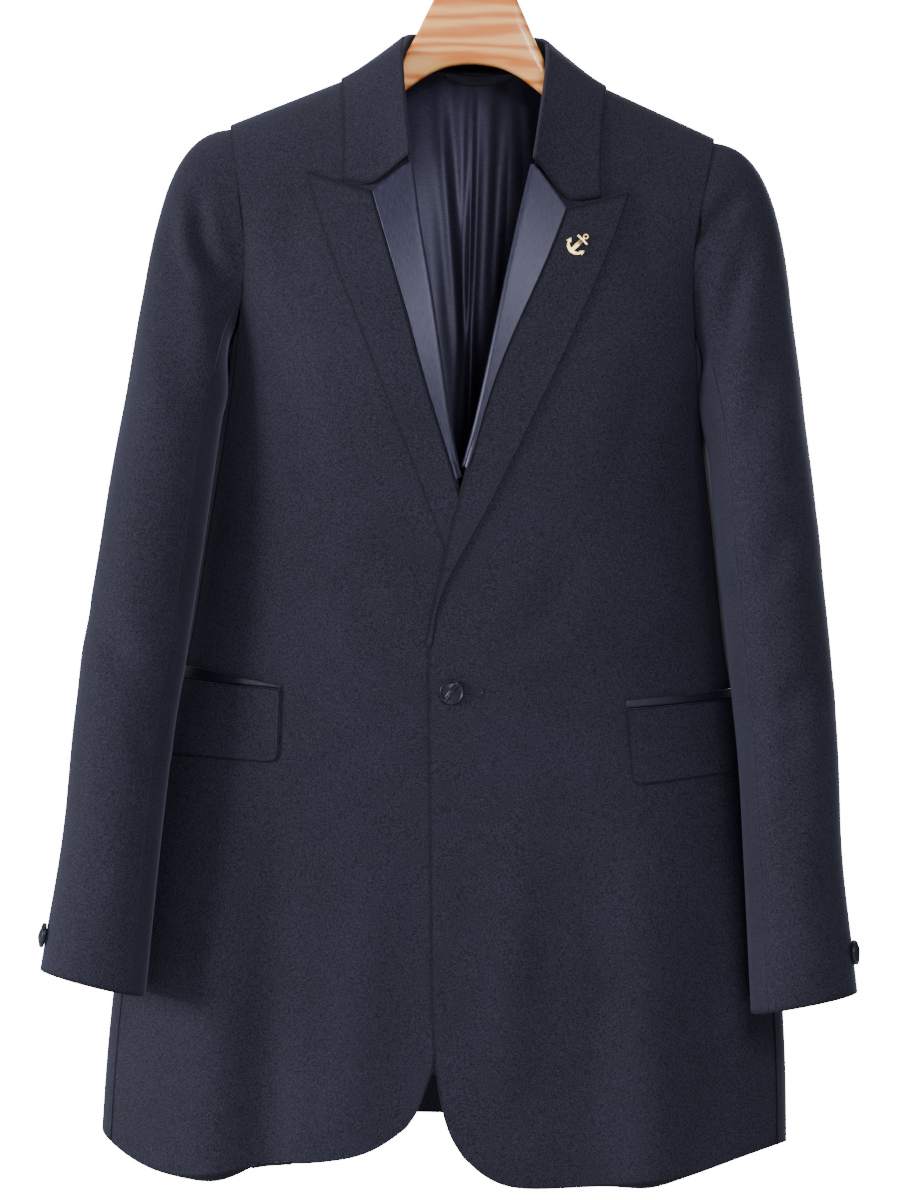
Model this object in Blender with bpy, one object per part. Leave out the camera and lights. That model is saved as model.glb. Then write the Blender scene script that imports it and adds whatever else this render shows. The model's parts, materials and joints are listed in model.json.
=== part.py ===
"""Tuxedo jacket hanging on a contoured wooden hanger. Tables are in millimetres, the scene in metres."""

import math

import bmesh
import bpy
import numpy as np
from mathutils import Vector
from mathutils.bvhtree import BVHTree

MM = 0.001
CLOTH = 1.6
LINING = 1.0
SEAM_GAP = 0.3
LAYER_GAP = 0.8
COLLAR_GAP = 1.5

for leftover in list(bpy.data.objects):
    bpy.data.objects.remove(leftover, do_unlink=True)


def rows(names, *values):
    """A table: named columns, one row per section."""
    keys = names.split()
    return [dict(zip(keys, row)) for row in values]


def read(table, key, column, at):
    """A column read at a value of the key column, smooth between the rows."""
    xs = [row[key] for row in table]
    ys = [row[column] for row in table]
    if xs[0] > xs[-1]:
        xs, ys = xs[::-1], ys[::-1]
    if at <= xs[0]:
        return ys[0]
    if at >= xs[-1]:
        return ys[-1]
    i = max(k for k in range(len(xs) - 1) if xs[k] <= at)
    slopes = []
    for k in (i, i + 1):
        low, high = max(k - 1, 0), min(k + 1, len(xs) - 1)
        slopes.append((ys[high] - ys[low]) / (xs[high] - xs[low]))
    step = xs[i + 1] - xs[i]
    t = (at - xs[i]) / step
    start = (2 * t**3 - 3 * t**2 + 1) * ys[i] + (t**3 - 2 * t**2 + t) * step * slopes[0]
    return start + (3 * t**2 - 2 * t**3) * ys[i + 1] + (t**3 - t**2) * step * slopes[1]


def smooth(low, high, value):
    t = min(max((value - low) / (high - low), 0), 1)
    return t * t * (3 - 2 * t)


# Closed rings of the body below the arm
BODY = rows(
    "z half front back power mid",
    (-338, 187.0, 86, 78, 3.1, 0),
    (-385, 190.3, 87, 77, 2.75, 6),
    (-430, 196.4, 86, 74, 2.5, 12),
    (-480, 204.2, 85, 70, 2.45, 15),
    (-530, 211.0, 84, 68, 2.4, 16),
    (-580, 217.0, 84, 67, 2.35, 15),
    (-620, 225.0, 83, 67, 2.3, 12),
    (-680, 241.0, 81, 67, 2.3, 6),
    (-745, 253.0, 79, 67, 2.3, 0),
    (-810, 262.0, 78, 66, 2.3, 0),
    (-875, 268.0, 77, 64, 2.3, 0),
    (-925, 271.5, 76, 63, 2.3, 0),
    (-1010, 274.0, 76, 62, 2.3, 0),
)

# Sections of the upper front, from the neck edge to the armhole
UPPER_FRONT = rows(
    "z_in z_out depth round",
    (-122, -176, 0.0, 0.0),
    (-125, -179, 9.5, 0.0),
    (-130, -184, 18.5, 0.0),
    (-139, -193, 28.0, 0.0),
    (-153, -207, 40.0, 0.0),
    (-175, -228, 51.0, 0.0),
    (-205, -252, 64.0, 0.0),
    (-245, -283, 75.0, 0.2),
    (-292, -312, 82.0, 0.5),
)

# Drops of the upper back below the neck and shoulder seam
UPPER_BACK = rows(
    "drop_in z_out",
    (0, -176),
    (3, -179),
    (8, -184),
    (17, -193),
    (31, -207),
    (52, -228),
    (82, -252),
    (122, -283),
    (172, -312),
)

ARMHOLE = rows(
    "z x front back",
    (-176, 193.5, 0, 0),
    (-179, 193.0, 9, 9),
    (-184, 192.0, 17, 18),
    (-193, 190.5, 25, 28),
    (-207, 188.5, 33, 38),
    (-228, 184.0, 41, 47),
    (-252, 179.5, 46, 52),
    (-283, 176.5, 48, 53),
    (-312, 178.0, 47, 50),
    (-338, 180.6, 41.1, 37.3),
    (-352, 186.0, 22, 20),
    (-357, 188.0, 0, 0),
)

# Inner edge of the front: neck seam, roll line, then the front edge
EDGE_OVER = rows(
    "z x",
    (-122, 67),
    (-130, 65),
    (-139, 62.5),
    (-153, 59),
    (-175, 54.5),
    (-205, 48),
    (-230, 42),
    (-268, 34.5),
    (-309, 27),
    (-354, 19),
    (-412, 8),
    (-450, 0),
    (-504, -10.5),
    (-556, -20.5),
    (-590, -24),
    (-628, -22.5),
    (-740, -18),
    (-847, -14),
    (-911, -10),
    (-938, -5),
    (-957, -1),
    (-971, 5),
    (-985, 15),
)
EDGE_UNDER = rows(
    "z x",
    (-122, 67),
    (-130, 65),
    (-139, 62.5),
    (-153, 59),
    (-175, 54.5),
    (-205, 48),
    (-230, 43.5),
    (-267, 37.5),
    (-302, 30),
    (-342, 23),
    (-383, 16),
    (-419, 10),
    (-462, 2),
    (-504, -6),
    (-556, -15),
    (-590, -18),
    (-740, -14),
    (-847, -3),
    (-905, 7),
    (-935, 16),
    (-953, 22),
    (-964, 30),
)

# Height of the front hems outward from the rounded corner, then of the side and the back
HEM_OVER = rows(
    "x z",
    (15, -985),
    (30, -999),
    (46, -1007),
    (60, -1009),
    (82, -1008.5),
    (116, -1006),
    (148, -1002.5),
    (187, -998),
    (215, -990),
    (240, -981),
    (262, -975),
    (274, -972),
)
HEM_UNDER = rows(
    "x z",
    (30, -964),
    (43, -974.5),
    (57, -983.5),
    (73, -988.5),
    (92, -992),
    (117, -995),
    (138, -997.5),
    (162, -1002),
    (184, -1006),
    (212, -1008),
    (235, -1003),
    (250, -996),
    (262, -988),
    (274, -981),
)
HEM_BACK = rows("x z", (0, -966), (120, -967), (220, -971), (274, -976))

# Long soft folds of the skirt: side -1 is the wearer's right
FOLDS = rows(
    "side x width depth z_top z_low",
    (-1, 208, 26, 4.5, -690, -900),
    (-1, 140, 24, -5.0, -720, -880),
    (-1, 72, 30, 2.5, -760, -920),
    (1, 170, 30, 3.5, -740, -920),
    (1, 222, 16, -3.5, -720, -880),
    (1, 96, 30, -2.0, -780, -930),
)
BACK_FOLDS = rows(
    "side x width depth z_top z_low",
    (-1, 150, 34, 5.0, -600, -860),
    (-1, 70, 26, -4.0, -640, -880),
    (1, 130, 30, 4.5, -620, -880),
    (1, 205, 22, -4.0, -640, -860),
    (1, 50, 26, -3.0, -660, -900),
)

SEAM_SHARE = 0.966
OVERLAP_SHIFT = 1.25
BREAK_SHIFT = 1.3
ROLL_WIDTH = 2.4
NECK_X = 67
NECK_Z = -122
NECK_BACK_Y = 64
NECK_BACK_Z = -118


def body(column, z):
    return read(BODY, "z", column, z)


def fold_shift(table, side, x, z):
    total = 0.0
    for row in table:
        if row["side"] == side:
            reach = smooth(-row["z_top"], -row["z_low"], -z) * smooth(0, 34, x)
            total += row["depth"] * reach * math.exp(-(((x - row["x"]) / row["width"]) ** 2))
    return total


def overlap_shift(side, x, z):
    """The left front lies out and the right front in where they overlap, more so at the lapels."""
    near_middle = 1 - smooth(24, 84, x)
    near_break = smooth(400, 450, -z) * (1 - smooth(585, 640, -z))
    return side * near_middle * (OVERLAP_SHIFT * smooth(200, 300, -z) + BREAK_SHIFT * near_break)


def edge_x(edge, z):
    """The inner edge of a front, moved out where the satin wraps it."""
    wrapped = smooth(190, 215, -z) * (1 - smooth(415, 470, -z))
    return read(edge, "z", "x", z) + ROLL_WIDTH * wrapped


def front_point(side, x, z):
    """A point of a front's outer surface below the arm. x is measured toward that front's own side."""
    half, power = body("half", z), body("power", z)
    share = min(abs(x) / half, 1.0)
    mid = body("mid", z)
    y = mid - (body("front", z) + mid) * (1 - share**power) ** (1 / power)
    y -= overlap_shift(side, x, z) + fold_shift(FOLDS, side, x, z)
    return np.array([side * x, y, z])


def back_point(side, x, z):
    half, power = body("half", z), body("power", z)
    share = min(abs(x) / half, 1.0)
    mid = body("mid", z)
    y = mid + (body("back", z) - mid) * (1 - share**power) ** (1 / power)
    return np.array([side * x, y + fold_shift(BACK_FOLDS, side, x, z), z])


def resample(line, count, trim_start=0.0, trim_end=0.0):
    """Points at equal distances along a line, less a length at each end."""
    line = np.asarray(line, float)
    steps = np.linalg.norm(np.diff(line, axis=0), axis=1)
    length = np.concatenate([[0], np.cumsum(steps)])
    wanted = np.linspace(trim_start, length[-1] - trim_end, count)
    return np.stack([np.interp(wanted, length, line[:, k]) for k in range(3)], axis=1)


def upper_front_row(side, row, edge):
    x_in = edge_x(edge, row["z_in"])
    x_out = read(ARMHOLE, "z", "x", row["z_out"])
    y_out = read(ARMHOLE, "z", "front", row["z_out"])
    line = []
    for t in np.linspace(0, 1, 50):
        x = x_in + (x_out - x_in) * t
        share = x / x_out
        soft = 1 - share**2.4
        full = (1 - share**2.8) ** (1 / 2.8)
        bulge = soft + (full - soft) * row["round"]
        y = -(y_out + (row["depth"] - y_out) * bulge)
        z = row["z_in"] + (row["z_out"] - row["z_in"]) * t
        line.append((side * x, y - overlap_shift(side, x, z), z))
    return line


def lower_front_row(side, z, edge, hem, q):
    """A row below the arm. q runs from 0 where the rounded corner starts to 1 at the hem."""
    corner = hem[0]["x"]
    x_in = edge_x(edge, z)
    half = body("half", z)
    start = math.asin(x_in / half)
    line = []
    for t in np.linspace(0, 1, 60):
        x = half * math.sin(start + (math.asin(SEAM_SHARE) - start) * t)
        drop = read(hem, "x", "z", max(x, corner)) - hem[0]["z"]
        level = z + q * drop
        x += x * (body("half", level) / half - 1) * t
        line.append(front_point(side, x, level))
    return line


FRONT_LEVELS = (-338, -385, -430, -480, -530, -575, -620, -680, -745, -810, -868)


def front_grid(side, edge, hem, columns, trim_side=SEAM_GAP / 2):
    grid = [resample(upper_front_row(side, row, edge), columns) for row in UPPER_FRONT]
    for z in FRONT_LEVELS:
        grid.append(resample(lower_front_row(side, z, edge, hem, 0), columns, 0, trim_side))
    last = hem[0]["z"]
    for q in (0.25, 0.5, 0.72, 0.88, 1.0):
        z = FRONT_LEVELS[-1] + (last - FRONT_LEVELS[-1]) * q
        grid.append(resample(lower_front_row(side, z, edge, hem, q), columns, 0, trim_side))
    return np.array(grid)


def side_row(side, z, front_hem, q):
    """A row round the side, from the front seam to the back seam."""
    half = body("half", z)
    line = []
    seam_angle = math.asin(SEAM_SHARE)
    for angle in np.linspace(seam_angle, math.pi - seam_angle, 50):
        x = half * math.sin(angle)
        toward = (angle - seam_angle) / (math.pi - 2 * seam_angle)
        ends = (read(front_hem, "x", "z", x), read(HEM_BACK, "x", "z", x))
        level = z + q * (ends[0] + (ends[1] - ends[0]) * smooth(0, 1, toward) - SIDE_BASE)
        x = body("half", level) * math.sin(angle)
        make = front_point if angle < math.pi / 2 else back_point
        line.append(make(side, x, level))
    return line


SIDE_BASE = -972


def armhole_bottom(side):
    line = []
    ends = ARMHOLE[-3]
    for y in np.linspace(-ends["front"], ends["back"], 50):
        low = 1 - (abs(y) / (ends["front"] if y < 0 else ends["back"])) ** 2.2
        x = ends["x"] + (ARMHOLE[-1]["x"] - ends["x"]) * low
        line.append((side * x, y, -338 - 19 * low))
    return line


def side_grid(side, front_hem, columns):
    trims = (SEAM_GAP / 2, SEAM_GAP / 2)
    grid = [resample(armhole_bottom(side), columns, *trims)]
    for z in FRONT_LEVELS[1:]:
        grid.append(resample(side_row(side, z, front_hem, 0), columns, *trims))
    for q in (0.5, 1.0):
        z = FRONT_LEVELS[-1] + (SIDE_BASE - FRONT_LEVELS[-1]) * q
        grid.append(resample(side_row(side, z, front_hem, q), columns, *trims))
    return np.array(grid)


def neck_back(x):
    """The back neck seam and the shoulder seam: y and z at a distance from the centre."""
    if x < NECK_X:
        share = (x / NECK_X) ** 2.2
        return NECK_BACK_Y * (1 - share) ** (1 / 2.2), NECK_BACK_Z + (NECK_Z - NECK_BACK_Z) * x / NECK_X
    along = (x - NECK_X) / (193.5 - NECK_X)
    return 0.0, NECK_Z + (-176 - NECK_Z) * along


def upper_back_at(x, drop):
    """The upper back at a distance from the centre and a drop below the seam."""
    seam_y, seam_z = neck_back(x)
    deepest = 79 - 27 * (x / 180) ** 2.2
    raised = 66 * max(1 - (x / 85) ** 2, 0) ** 2

    def rise(depth):
        return math.sqrt(max(1 - (1 - min(depth / 160, 1)) ** 2, 0))

    near_seam = seam_y if x < NECK_X else deepest * rise(drop)
    shared = smooth(0, 20, drop)
    return near_seam * (1 - shared) + deepest * rise(drop + raised) * shared, seam_z - drop


def upper_back_point(side, row, x, lower=0.0):
    x_out = read(ARMHOLE, "z", "x", row["z_out"])
    y_out = read(ARMHOLE, "z", "back", row["z_out"])
    drop_out = neck_back(x_out)[1] - row["z_out"]
    fix = y_out - upper_back_at(x_out, drop_out)[0]
    y, z = upper_back_at(x, row["drop_in"] + (drop_out - row["drop_in"]) * x / x_out + lower)
    return np.array([side * x, y + fix * (x / x_out) ** 4, z])


def upper_back_row(side, row):
    x_out = read(ARMHOLE, "z", "x", row["z_out"])
    xs = [x_out * t for t in np.linspace(0, 1, 60)]
    if row["drop_in"] == 0:
        xs = [NECK_X * math.sin(a) for a in np.linspace(0, math.pi / 2, 40)]
        xs += [NECK_X + (x_out - NECK_X) * t for t in np.linspace(0.02, 1, 40)]
    return [upper_back_point(side, row, x) for x in xs]


BACK_LEVELS = (-338, -385, -430, -480, -530, -575, -620, -680, -745, -810, -868)


def lower_back_row(side, z, q):
    half = body("half", z)
    line = []
    for t in np.linspace(0, 1, 60):
        x = half * math.sin(math.asin(SEAM_SHARE) * t)
        level = z + q * (read(HEM_BACK, "x", "z", x) - HEM_BACK[0]["z"])
        x += x * (body("half", level) / half - 1) * t
        line.append(back_point(side, x, level))
    return line


def back_grid(side, columns):
    grid = [resample(upper_back_row(side, row), columns, SEAM_GAP / 2) for row in UPPER_BACK]
    for z in BACK_LEVELS:
        grid.append(resample(lower_back_row(side, z, 0), columns, SEAM_GAP / 2, SEAM_GAP / 2))
    for q in (0.5, 1.0):
        z = BACK_LEVELS[-1] + (HEM_BACK[0]["z"] - BACK_LEVELS[-1]) * q
        grid.append(resample(lower_back_row(side, z, q), columns, SEAM_GAP / 2, SEAM_GAP / 2))
    return np.array(grid)


# Solids from grids
MATERIALS = rows(
    "name red green blue rough metal",
    ("wool", 0.028, 0.029, 0.042, 0.85, 0.0),
    ("satin", 0.045, 0.047, 0.075, 0.35, 0.0),
    ("lining", 0.035, 0.036, 0.055, 0.45, 0.0),
    ("wood", 0.42, 0.17, 0.07, 0.25, 0.0),
    ("steel", 0.75, 0.75, 0.77, 0.2, 1.0),
    ("gold", 0.85, 0.62, 0.25, 0.25, 1.0),
)


def material(node, kind):
    row = next(row for row in MATERIALS if row["name"] == kind)
    made = bpy.data.materials.new(f"{node}_{kind}")
    made.use_nodes = True
    shader = made.node_tree.nodes["Principled BSDF"]
    shader.inputs["Base Color"].default_value = (row["red"], row["green"], row["blue"], 1)
    shader.inputs["Roughness"].default_value = row["rough"]
    shader.inputs["Metallic"].default_value = row["metal"]
    return made


def solid(name, points, faces, kind):
    """One closed mesh object from points in millimetres, turned to face out."""
    points = np.asarray(points, float)
    volume = 0.0
    for face in faces:
        for k in range(1, len(face) - 1):
            a, b, c = points[face[0]], points[face[k]], points[face[k + 1]]
            volume += np.dot(a, np.cross(b, c))
    if volume < 0:
        faces = [face[::-1] for face in faces]
    mesh = bpy.data.meshes.new(name)
    mesh.from_pydata([tuple(p * MM) for p in points], [], [tuple(int(i) for i in f) for f in faces])
    mesh.update()
    made = bpy.data.objects.new(name, mesh)
    bpy.context.scene.collection.objects.link(made)
    made.data.materials.append(material(name, kind))
    return made


def grid_normals(grid):
    across = np.gradient(grid, axis=1)
    down = np.gradient(grid, axis=0)
    normals = np.cross(across, down)
    return normals / np.linalg.norm(normals, axis=2, keepdims=True)


def seam_normal(make, side, point):
    """The way a surface faces at a seam, the same for the panels on both sides of it."""
    x, z = abs(point[0]), point[2]
    across = make(side, x + 0.4, z) - make(side, x - 0.4, z)
    down = make(side, x, z - 4) - make(side, x, z + 4)
    normal = np.cross(across, down)
    normal = normal / np.linalg.norm(normal)
    return normal if normal[0] * point[0] + normal[1] * point[1] > 0 else -normal


def sheet(name, grid, thick, kind, outward, first=None, last=None, top=None):
    """A wall of one thickness whose outer face is the grid. outward gives the way it faces at each point.
    first, last and top give how it faces along those edges, where another panel meets it."""
    grid = np.asarray(grid, float)
    normals = grid_normals(grid)
    facing = np.sum(normals * outward(grid), axis=2).sum()
    if facing < 0:
        normals = -normals
    for i in range(len(grid)):
        for column, seam in ((0, first), (-1, last)):
            if seam and seam(i, grid[i, column]) is not None:
                normals[i, column] = seam(i, grid[i, column])
    if top:
        for j in range(grid.shape[1]):
            if top(grid[0, j]) is not None:
                normals[0, j] = top(grid[0, j])
    inner = grid - normals * thick
    count, width = grid.shape[:2]
    points = np.concatenate([grid.reshape(-1, 3), inner.reshape(-1, 3)])
    half = count * width

    def at(i, j, layer):
        return layer * half + i * width + j

    faces = []
    for i in range(count - 1):
        for j in range(width - 1):
            a, b, c, d = at(i, j, 0), at(i, j + 1, 0), at(i + 1, j + 1, 0), at(i + 1, j, 0)
            faces += [(a, b, c), (a, c, d)]
            faces += [(c + half, b + half, a + half), (d + half, c + half, a + half)]
    rim = [(0, j) for j in range(width)] + [(i, width - 1) for i in range(1, count)]
    rim += [(count - 1, j) for j in range(width - 2, -1, -1)] + [(i, 0) for i in range(count - 2, 0, -1)]
    for k, (i, j) in enumerate(rim):
        m, n = rim[(k + 1) % len(rim)]
        faces += [(at(m, n, 0), at(i, j, 0), at(i, j, 1)), (at(m, n, 0), at(i, j, 1), at(m, n, 1))]
    return solid(name, points, faces, kind)


def from_middle(grid):
    away = grid.copy()
    away[..., 2] = 0
    away[..., 0] *= 0.4
    return away


def wrap_facing(grid):
    """Only the outer part of a wrapped piece tells which way it faces."""
    facing = np.zeros(grid.shape)
    facing[:, -5:, 1] = -1
    return facing


def forward(grid):
    return np.broadcast_to(np.array([0.0, -1.0, 0.0]), grid.shape)


def surface_of(objects, part="outer"):
    """The outer, inner or all faces of finished sheets, for laying other pieces on them."""
    points, faces = [], []
    for made in objects:
        base = len(points)
        points += [v.co / MM for v in made.data.vertices]
        half = len(made.data.vertices) // 2
        for polygon in made.data.polygons:
            outer = sum(i < half for i in polygon.vertices)
            if part == "all" or outer == (3 if part == "outer" else 0):
                faces.append([base + i for i in polygon.vertices])
    return BVHTree.FromPolygons(points, faces)


def lifted(surface, point, gap, toward=(0, -1, 0)):
    """The point moved straight onto a surface and out from it by a gap."""
    toward = Vector(toward).normalized()
    start = Vector(point) + toward * 60
    hit, normal, _, _ = surface.ray_cast(start, -toward, 200)
    if hit is None:
        hit, normal, _, _ = surface.find_nearest(Vector(point))
    if normal.dot(toward) < 0:
        normal = -normal
    return np.array(hit + normal * gap)


def seam_on(make, side):
    return lambda i, point: seam_normal(make, side, point) if point[2] < -337 else None


def centre_back(i, point):
    """Both halves of the back face straight behind along the seam between them."""
    return np.array([0.0, 0.8, 0.6]) if i == 0 else np.array([0.0, 1.0, 0.0])


def shoulder(side):
    """How both panels face along the shoulder seam."""
    up = np.array([side * 0.393, 0.0, 0.92])
    return lambda point: up if abs(point[0]) > NECK_X + 0.5 else None


fronts, sides, backs = {}, {}, {}
for side, word, edge, hem in ((1, "left", EDGE_OVER, HEM_OVER), (-1, "right", EDGE_UNDER, HEM_UNDER)):
    grid = front_grid(side, edge, hem, 14)
    grid[0, :, 1] -= SEAM_GAP / 2
    seam = seam_on(front_point, side)
    fronts[side] = sheet(
        f"front_{word}", grid, CLOTH, "wool", from_middle, last=seam, top=shoulder(side)
    )
    grid = side_grid(side, hem, 8)
    back_seam = seam_on(back_point, side)
    sides[side] = sheet(
        f"side_{word}", grid, CLOTH, "wool", from_middle, first=seam, last=back_seam
    )
    grid = back_grid(side, 12)
    grid[0, :, 1] += SEAM_GAP / 2
    backs[side] = sheet(
        f"back_{word}",
        grid,
        CLOTH,
        "wool",
        from_middle,
        first=centre_back,
        last=back_seam,
        top=shoulder(side),
    )

# Sleeves
SLEEVE = rows(
    "z middle half_x y half_y",
    (-402, 229.5, 39.5, -35.5, 56.0),
    (-463, 237.4, 41.0, -46.0, 53.0),
    (-514, 242.6, 41.0, -53.0, 49.0),
    (-554, 248.0, 41.5, -56.0, 47.5),
    (-614, 255.0, 41.0, -60.0, 46.0),
    (-665, 261.0, 40.0, -64.0, 45.0),
    (-715, 264.0, 39.0, -66.0, 44.0),
    (-765, 268.0, 39.5, -68.0, 42.5),
    (-815, 273.6, 41.0, -69.0, 41.0),
    (-857, 278.0, 42.0, -69.5, 40.0),
)
BACK_SEAM = rows("z turn", (-176, -60), (-402, -46), (-614, -30), (-765, -18), (-857, -12))
FRONT_SEAM = rows("z turn", (-176, 128), (-857, 132))
SLEEVE_CREASES = rows(
    "side turn z width height depth",
    (-1, 52, -262, 16, 22, -4.0),
    (-1, 80, -232, 14, 26, -4.0),
    (-1, 70, -620, 18, 26, -3.0),
    (1, 75, -240, 15, 26, -4.0),
    (1, 100, -330, 16, 34, -4.0),
    (1, 85, -660, 16, 22, -3.5),
)
CUFF_SLOPE = 0.225


def armhole_loop(side):
    """The armhole seam: shoulder tip, front, under the arm, back."""
    line = []
    for row in ARMHOLE:
        line.append((side * row["x"], -row["front"], row["z"]))
    for row in ARMHOLE[-2::-1]:
        line.append((side * row["x"], row["back"], row["z"]))
    steps = np.linalg.norm(np.diff(np.array(line, float), axis=0), axis=1)
    length = np.concatenate([[0], np.cumsum(steps)])
    return np.array(line, float), length


def armhole_at(side, turn):
    """A point of the seam. turn is 0 at the shoulder tip and 180 under the arm."""
    line, length = armhole_loop(side)
    under = length[len(ARMHOLE) - 1]
    turn = turn % 360
    if turn <= 180:
        wanted = under * turn / 180
    else:
        wanted = under + (length[-1] - under) * (turn - 180) / 180
    return np.array([np.interp(wanted, length, line[:, k]) for k in range(3)])


def ring_at(side, turn, z):
    get = {key: read(SLEEVE, "z", key, z) for key in ("middle", "half_x", "y", "half_y")}
    a = math.radians(turn)
    c, s = math.cos(a), math.sin(a)
    x = get["middle"] + get["half_x"] * math.copysign(abs(c) ** 0.92, c)
    y = get["y"] - get["half_y"] * math.copysign(abs(s) ** 0.92, s)
    level = z + CUFF_SLOPE * (x - get["middle"]) * smooth(700, 857, -z)
    return np.array([side * x, y, level])


def sleeve_point(side, turn, v):
    """v is 0 at the armhole, 1 where the rings are level and 2 at the cuff."""
    if v >= 1:
        z = -402 + (-857 + 402) * (v - 1)
        point = ring_at(side, turn, z)
    else:
        start, end = armhole_at(side, turn), ring_at(side, turn, -402)
        under = 0.5 - 0.5 * math.cos(math.radians(turn))
        leave = Vector((side * (1 - 0.57 * under), -0.16 * under, -0.03 - 0.9 * under)).normalized()
        arrive = Vector((side * 0.21, -0.2, -1)).normalized()
        reach = np.linalg.norm(end - start)
        start = start + np.array(leave) * 0.45 + np.array([side * 1.3 * smooth(0.7, 0.95, under), 0, 0])
        t = v
        blend = (2 * t**3 - 3 * t**2 + 1) * start + (3 * t**2 - 2 * t**3) * end
        blend = blend + (t**3 - 2 * t**2 + t) * reach * (0.85 - 0.3 * under) * np.array(leave)
        point = blend + (t**3 - t**2) * reach * 1.0 * np.array(arrive)
    middle = np.array([side * read(SLEEVE, "z", "middle", point[2]), read(SLEEVE, "z", "y", point[2])])
    outward = point[:2] - middle
    outward = outward / max(np.linalg.norm(outward), 1)
    for row in SLEEVE_CREASES:
        if row["side"] == side:
            a = ((turn - row["turn"] + 180) % 360 - 180) / row["width"]
            b = (point[2] - row["z"]) / row["height"]
            amount = row["depth"] * math.exp(-a * a - b * b)
            point = point + np.array([outward[0], outward[1], 0]) * amount
    return point


SLEEVE_STEPS = (0, 0.07, 0.16, 0.27, 0.4, 0.55, 0.7, 0.85, 1, 1.13, 1.25, 1.36, 1.47, 1.58, 1.69, 1.8, 1.9, 2)


def sleeve_grid(side, columns, upper):
    grid = []
    for v in SLEEVE_STEPS:
        z = -176 - 226 * v if v < 1 else -402 - 455 * (v - 1)
        back = read(BACK_SEAM, "z", "turn", z)
        front = read(FRONT_SEAM, "z", "turn", z)
        ends = (back, front) if upper else (front, back + 360)
        line = [sleeve_point(side, turn, v) for turn in np.linspace(ends[0], ends[1], 70)]
        grid.append(resample(line, columns, SEAM_GAP / 2, SEAM_GAP / 2))
    return np.array(grid)


def sleeve_seam(side, table, turn_more=0):
    """How both sleeve pieces face along a seam between them."""

    def normal(i, point):
        v = SLEEVE_STEPS[i]
        z = -176 - 226 * v if v < 1 else -402 - 455 * (v - 1)
        turn = read(table, "z", "turn", z) + turn_more
        around = sleeve_point(side, turn + 2, v) - sleeve_point(side, turn - 2, v)
        low, high = max(v - 0.02, 0), min(v + 0.02, 2)
        if low < 1 < high:
            low, high = 0.97, 0.999
        along = sleeve_point(side, turn, high) - sleeve_point(side, turn, low)
        result = np.cross(around, along)
        result = result / np.linalg.norm(result)
        middle = (sleeve_point(side, 0, v) + sleeve_point(side, 180, v)) / 2
        return result if np.dot(result, point - middle) > 0 else -result

    return normal


def from_sleeve(side):
    def away(grid):
        result = grid.copy()
        for row in result:
            z = row[:, 2].mean()
            row[:, 0] -= side * read(SLEEVE, "z", "middle", z) if z < -380 else side * 200
            row[:, 1] -= read(SLEEVE, "z", "y", z) if z < -380 else 0
            row[:, 2] = row[:, 2] - z if z < -380 else row[:, 2] + 290
        return result

    return away


sleeves = {}
for side, word in ((1, "left"), (-1, "right")):
    elbow, inner = sleeve_seam(side, BACK_SEAM), sleeve_seam(side, FRONT_SEAM)
    upper, under = sleeve_grid(side, 14, True), sleeve_grid(side, 10, False)
    away = from_sleeve(side)
    sleeves[side] = sheet(f"top_sleeve_{word}", upper, CLOTH, "wool", away, first=elbow, last=inner)
    sheet(f"under_sleeve_{word}", under, CLOTH, "wool", away, first=inner, last=elbow)

# Lapels, laid on the fronts
SATIN_SEAM = {
    1: rows("z x", (-241, 76), (-284, 61), (-324, 44), (-359, 30), (-408, 14), (-445, 4.5)),
    -1: rows("z x", (-232, 78), (-292, 59), (-333, 46), (-373, 34.5), (-403, 24.5), (-456, 6)),
}
LAPEL_EDGE = {
    1: rows(
        "z x",
        (-225, 125),
        (-265, 113),
        (-301, 99),
        (-353, 78),
        (-387, 62.5),
        (-421, 47),
        (-483, 18),
        (-524, -4),
        (-559, -18.6),
        (-588, -22.5),
    ),
    -1: rows(
        "z x",
        (-216, 130),
        (-240, 122),
        (-286, 106),
        (-342, 82),
        (-384, 65),
        (-435, 43),
        (-471, 28),
        (-505, 14.5),
        (-548, -3),
        (-588, -14),
    ),
}
NOTCH = {1: (76, -241), -1: (78, -232)}
GORGE_TOP = -206.6
SATIN_END = {1: (-446, -448), -1: (-454, -457)}
SATIN_COUNT = 10
WOOL_COUNT = 7
WRAP_ARC = (165, 130, 90, 50, 15)
WRAP_HEM = 8


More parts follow.
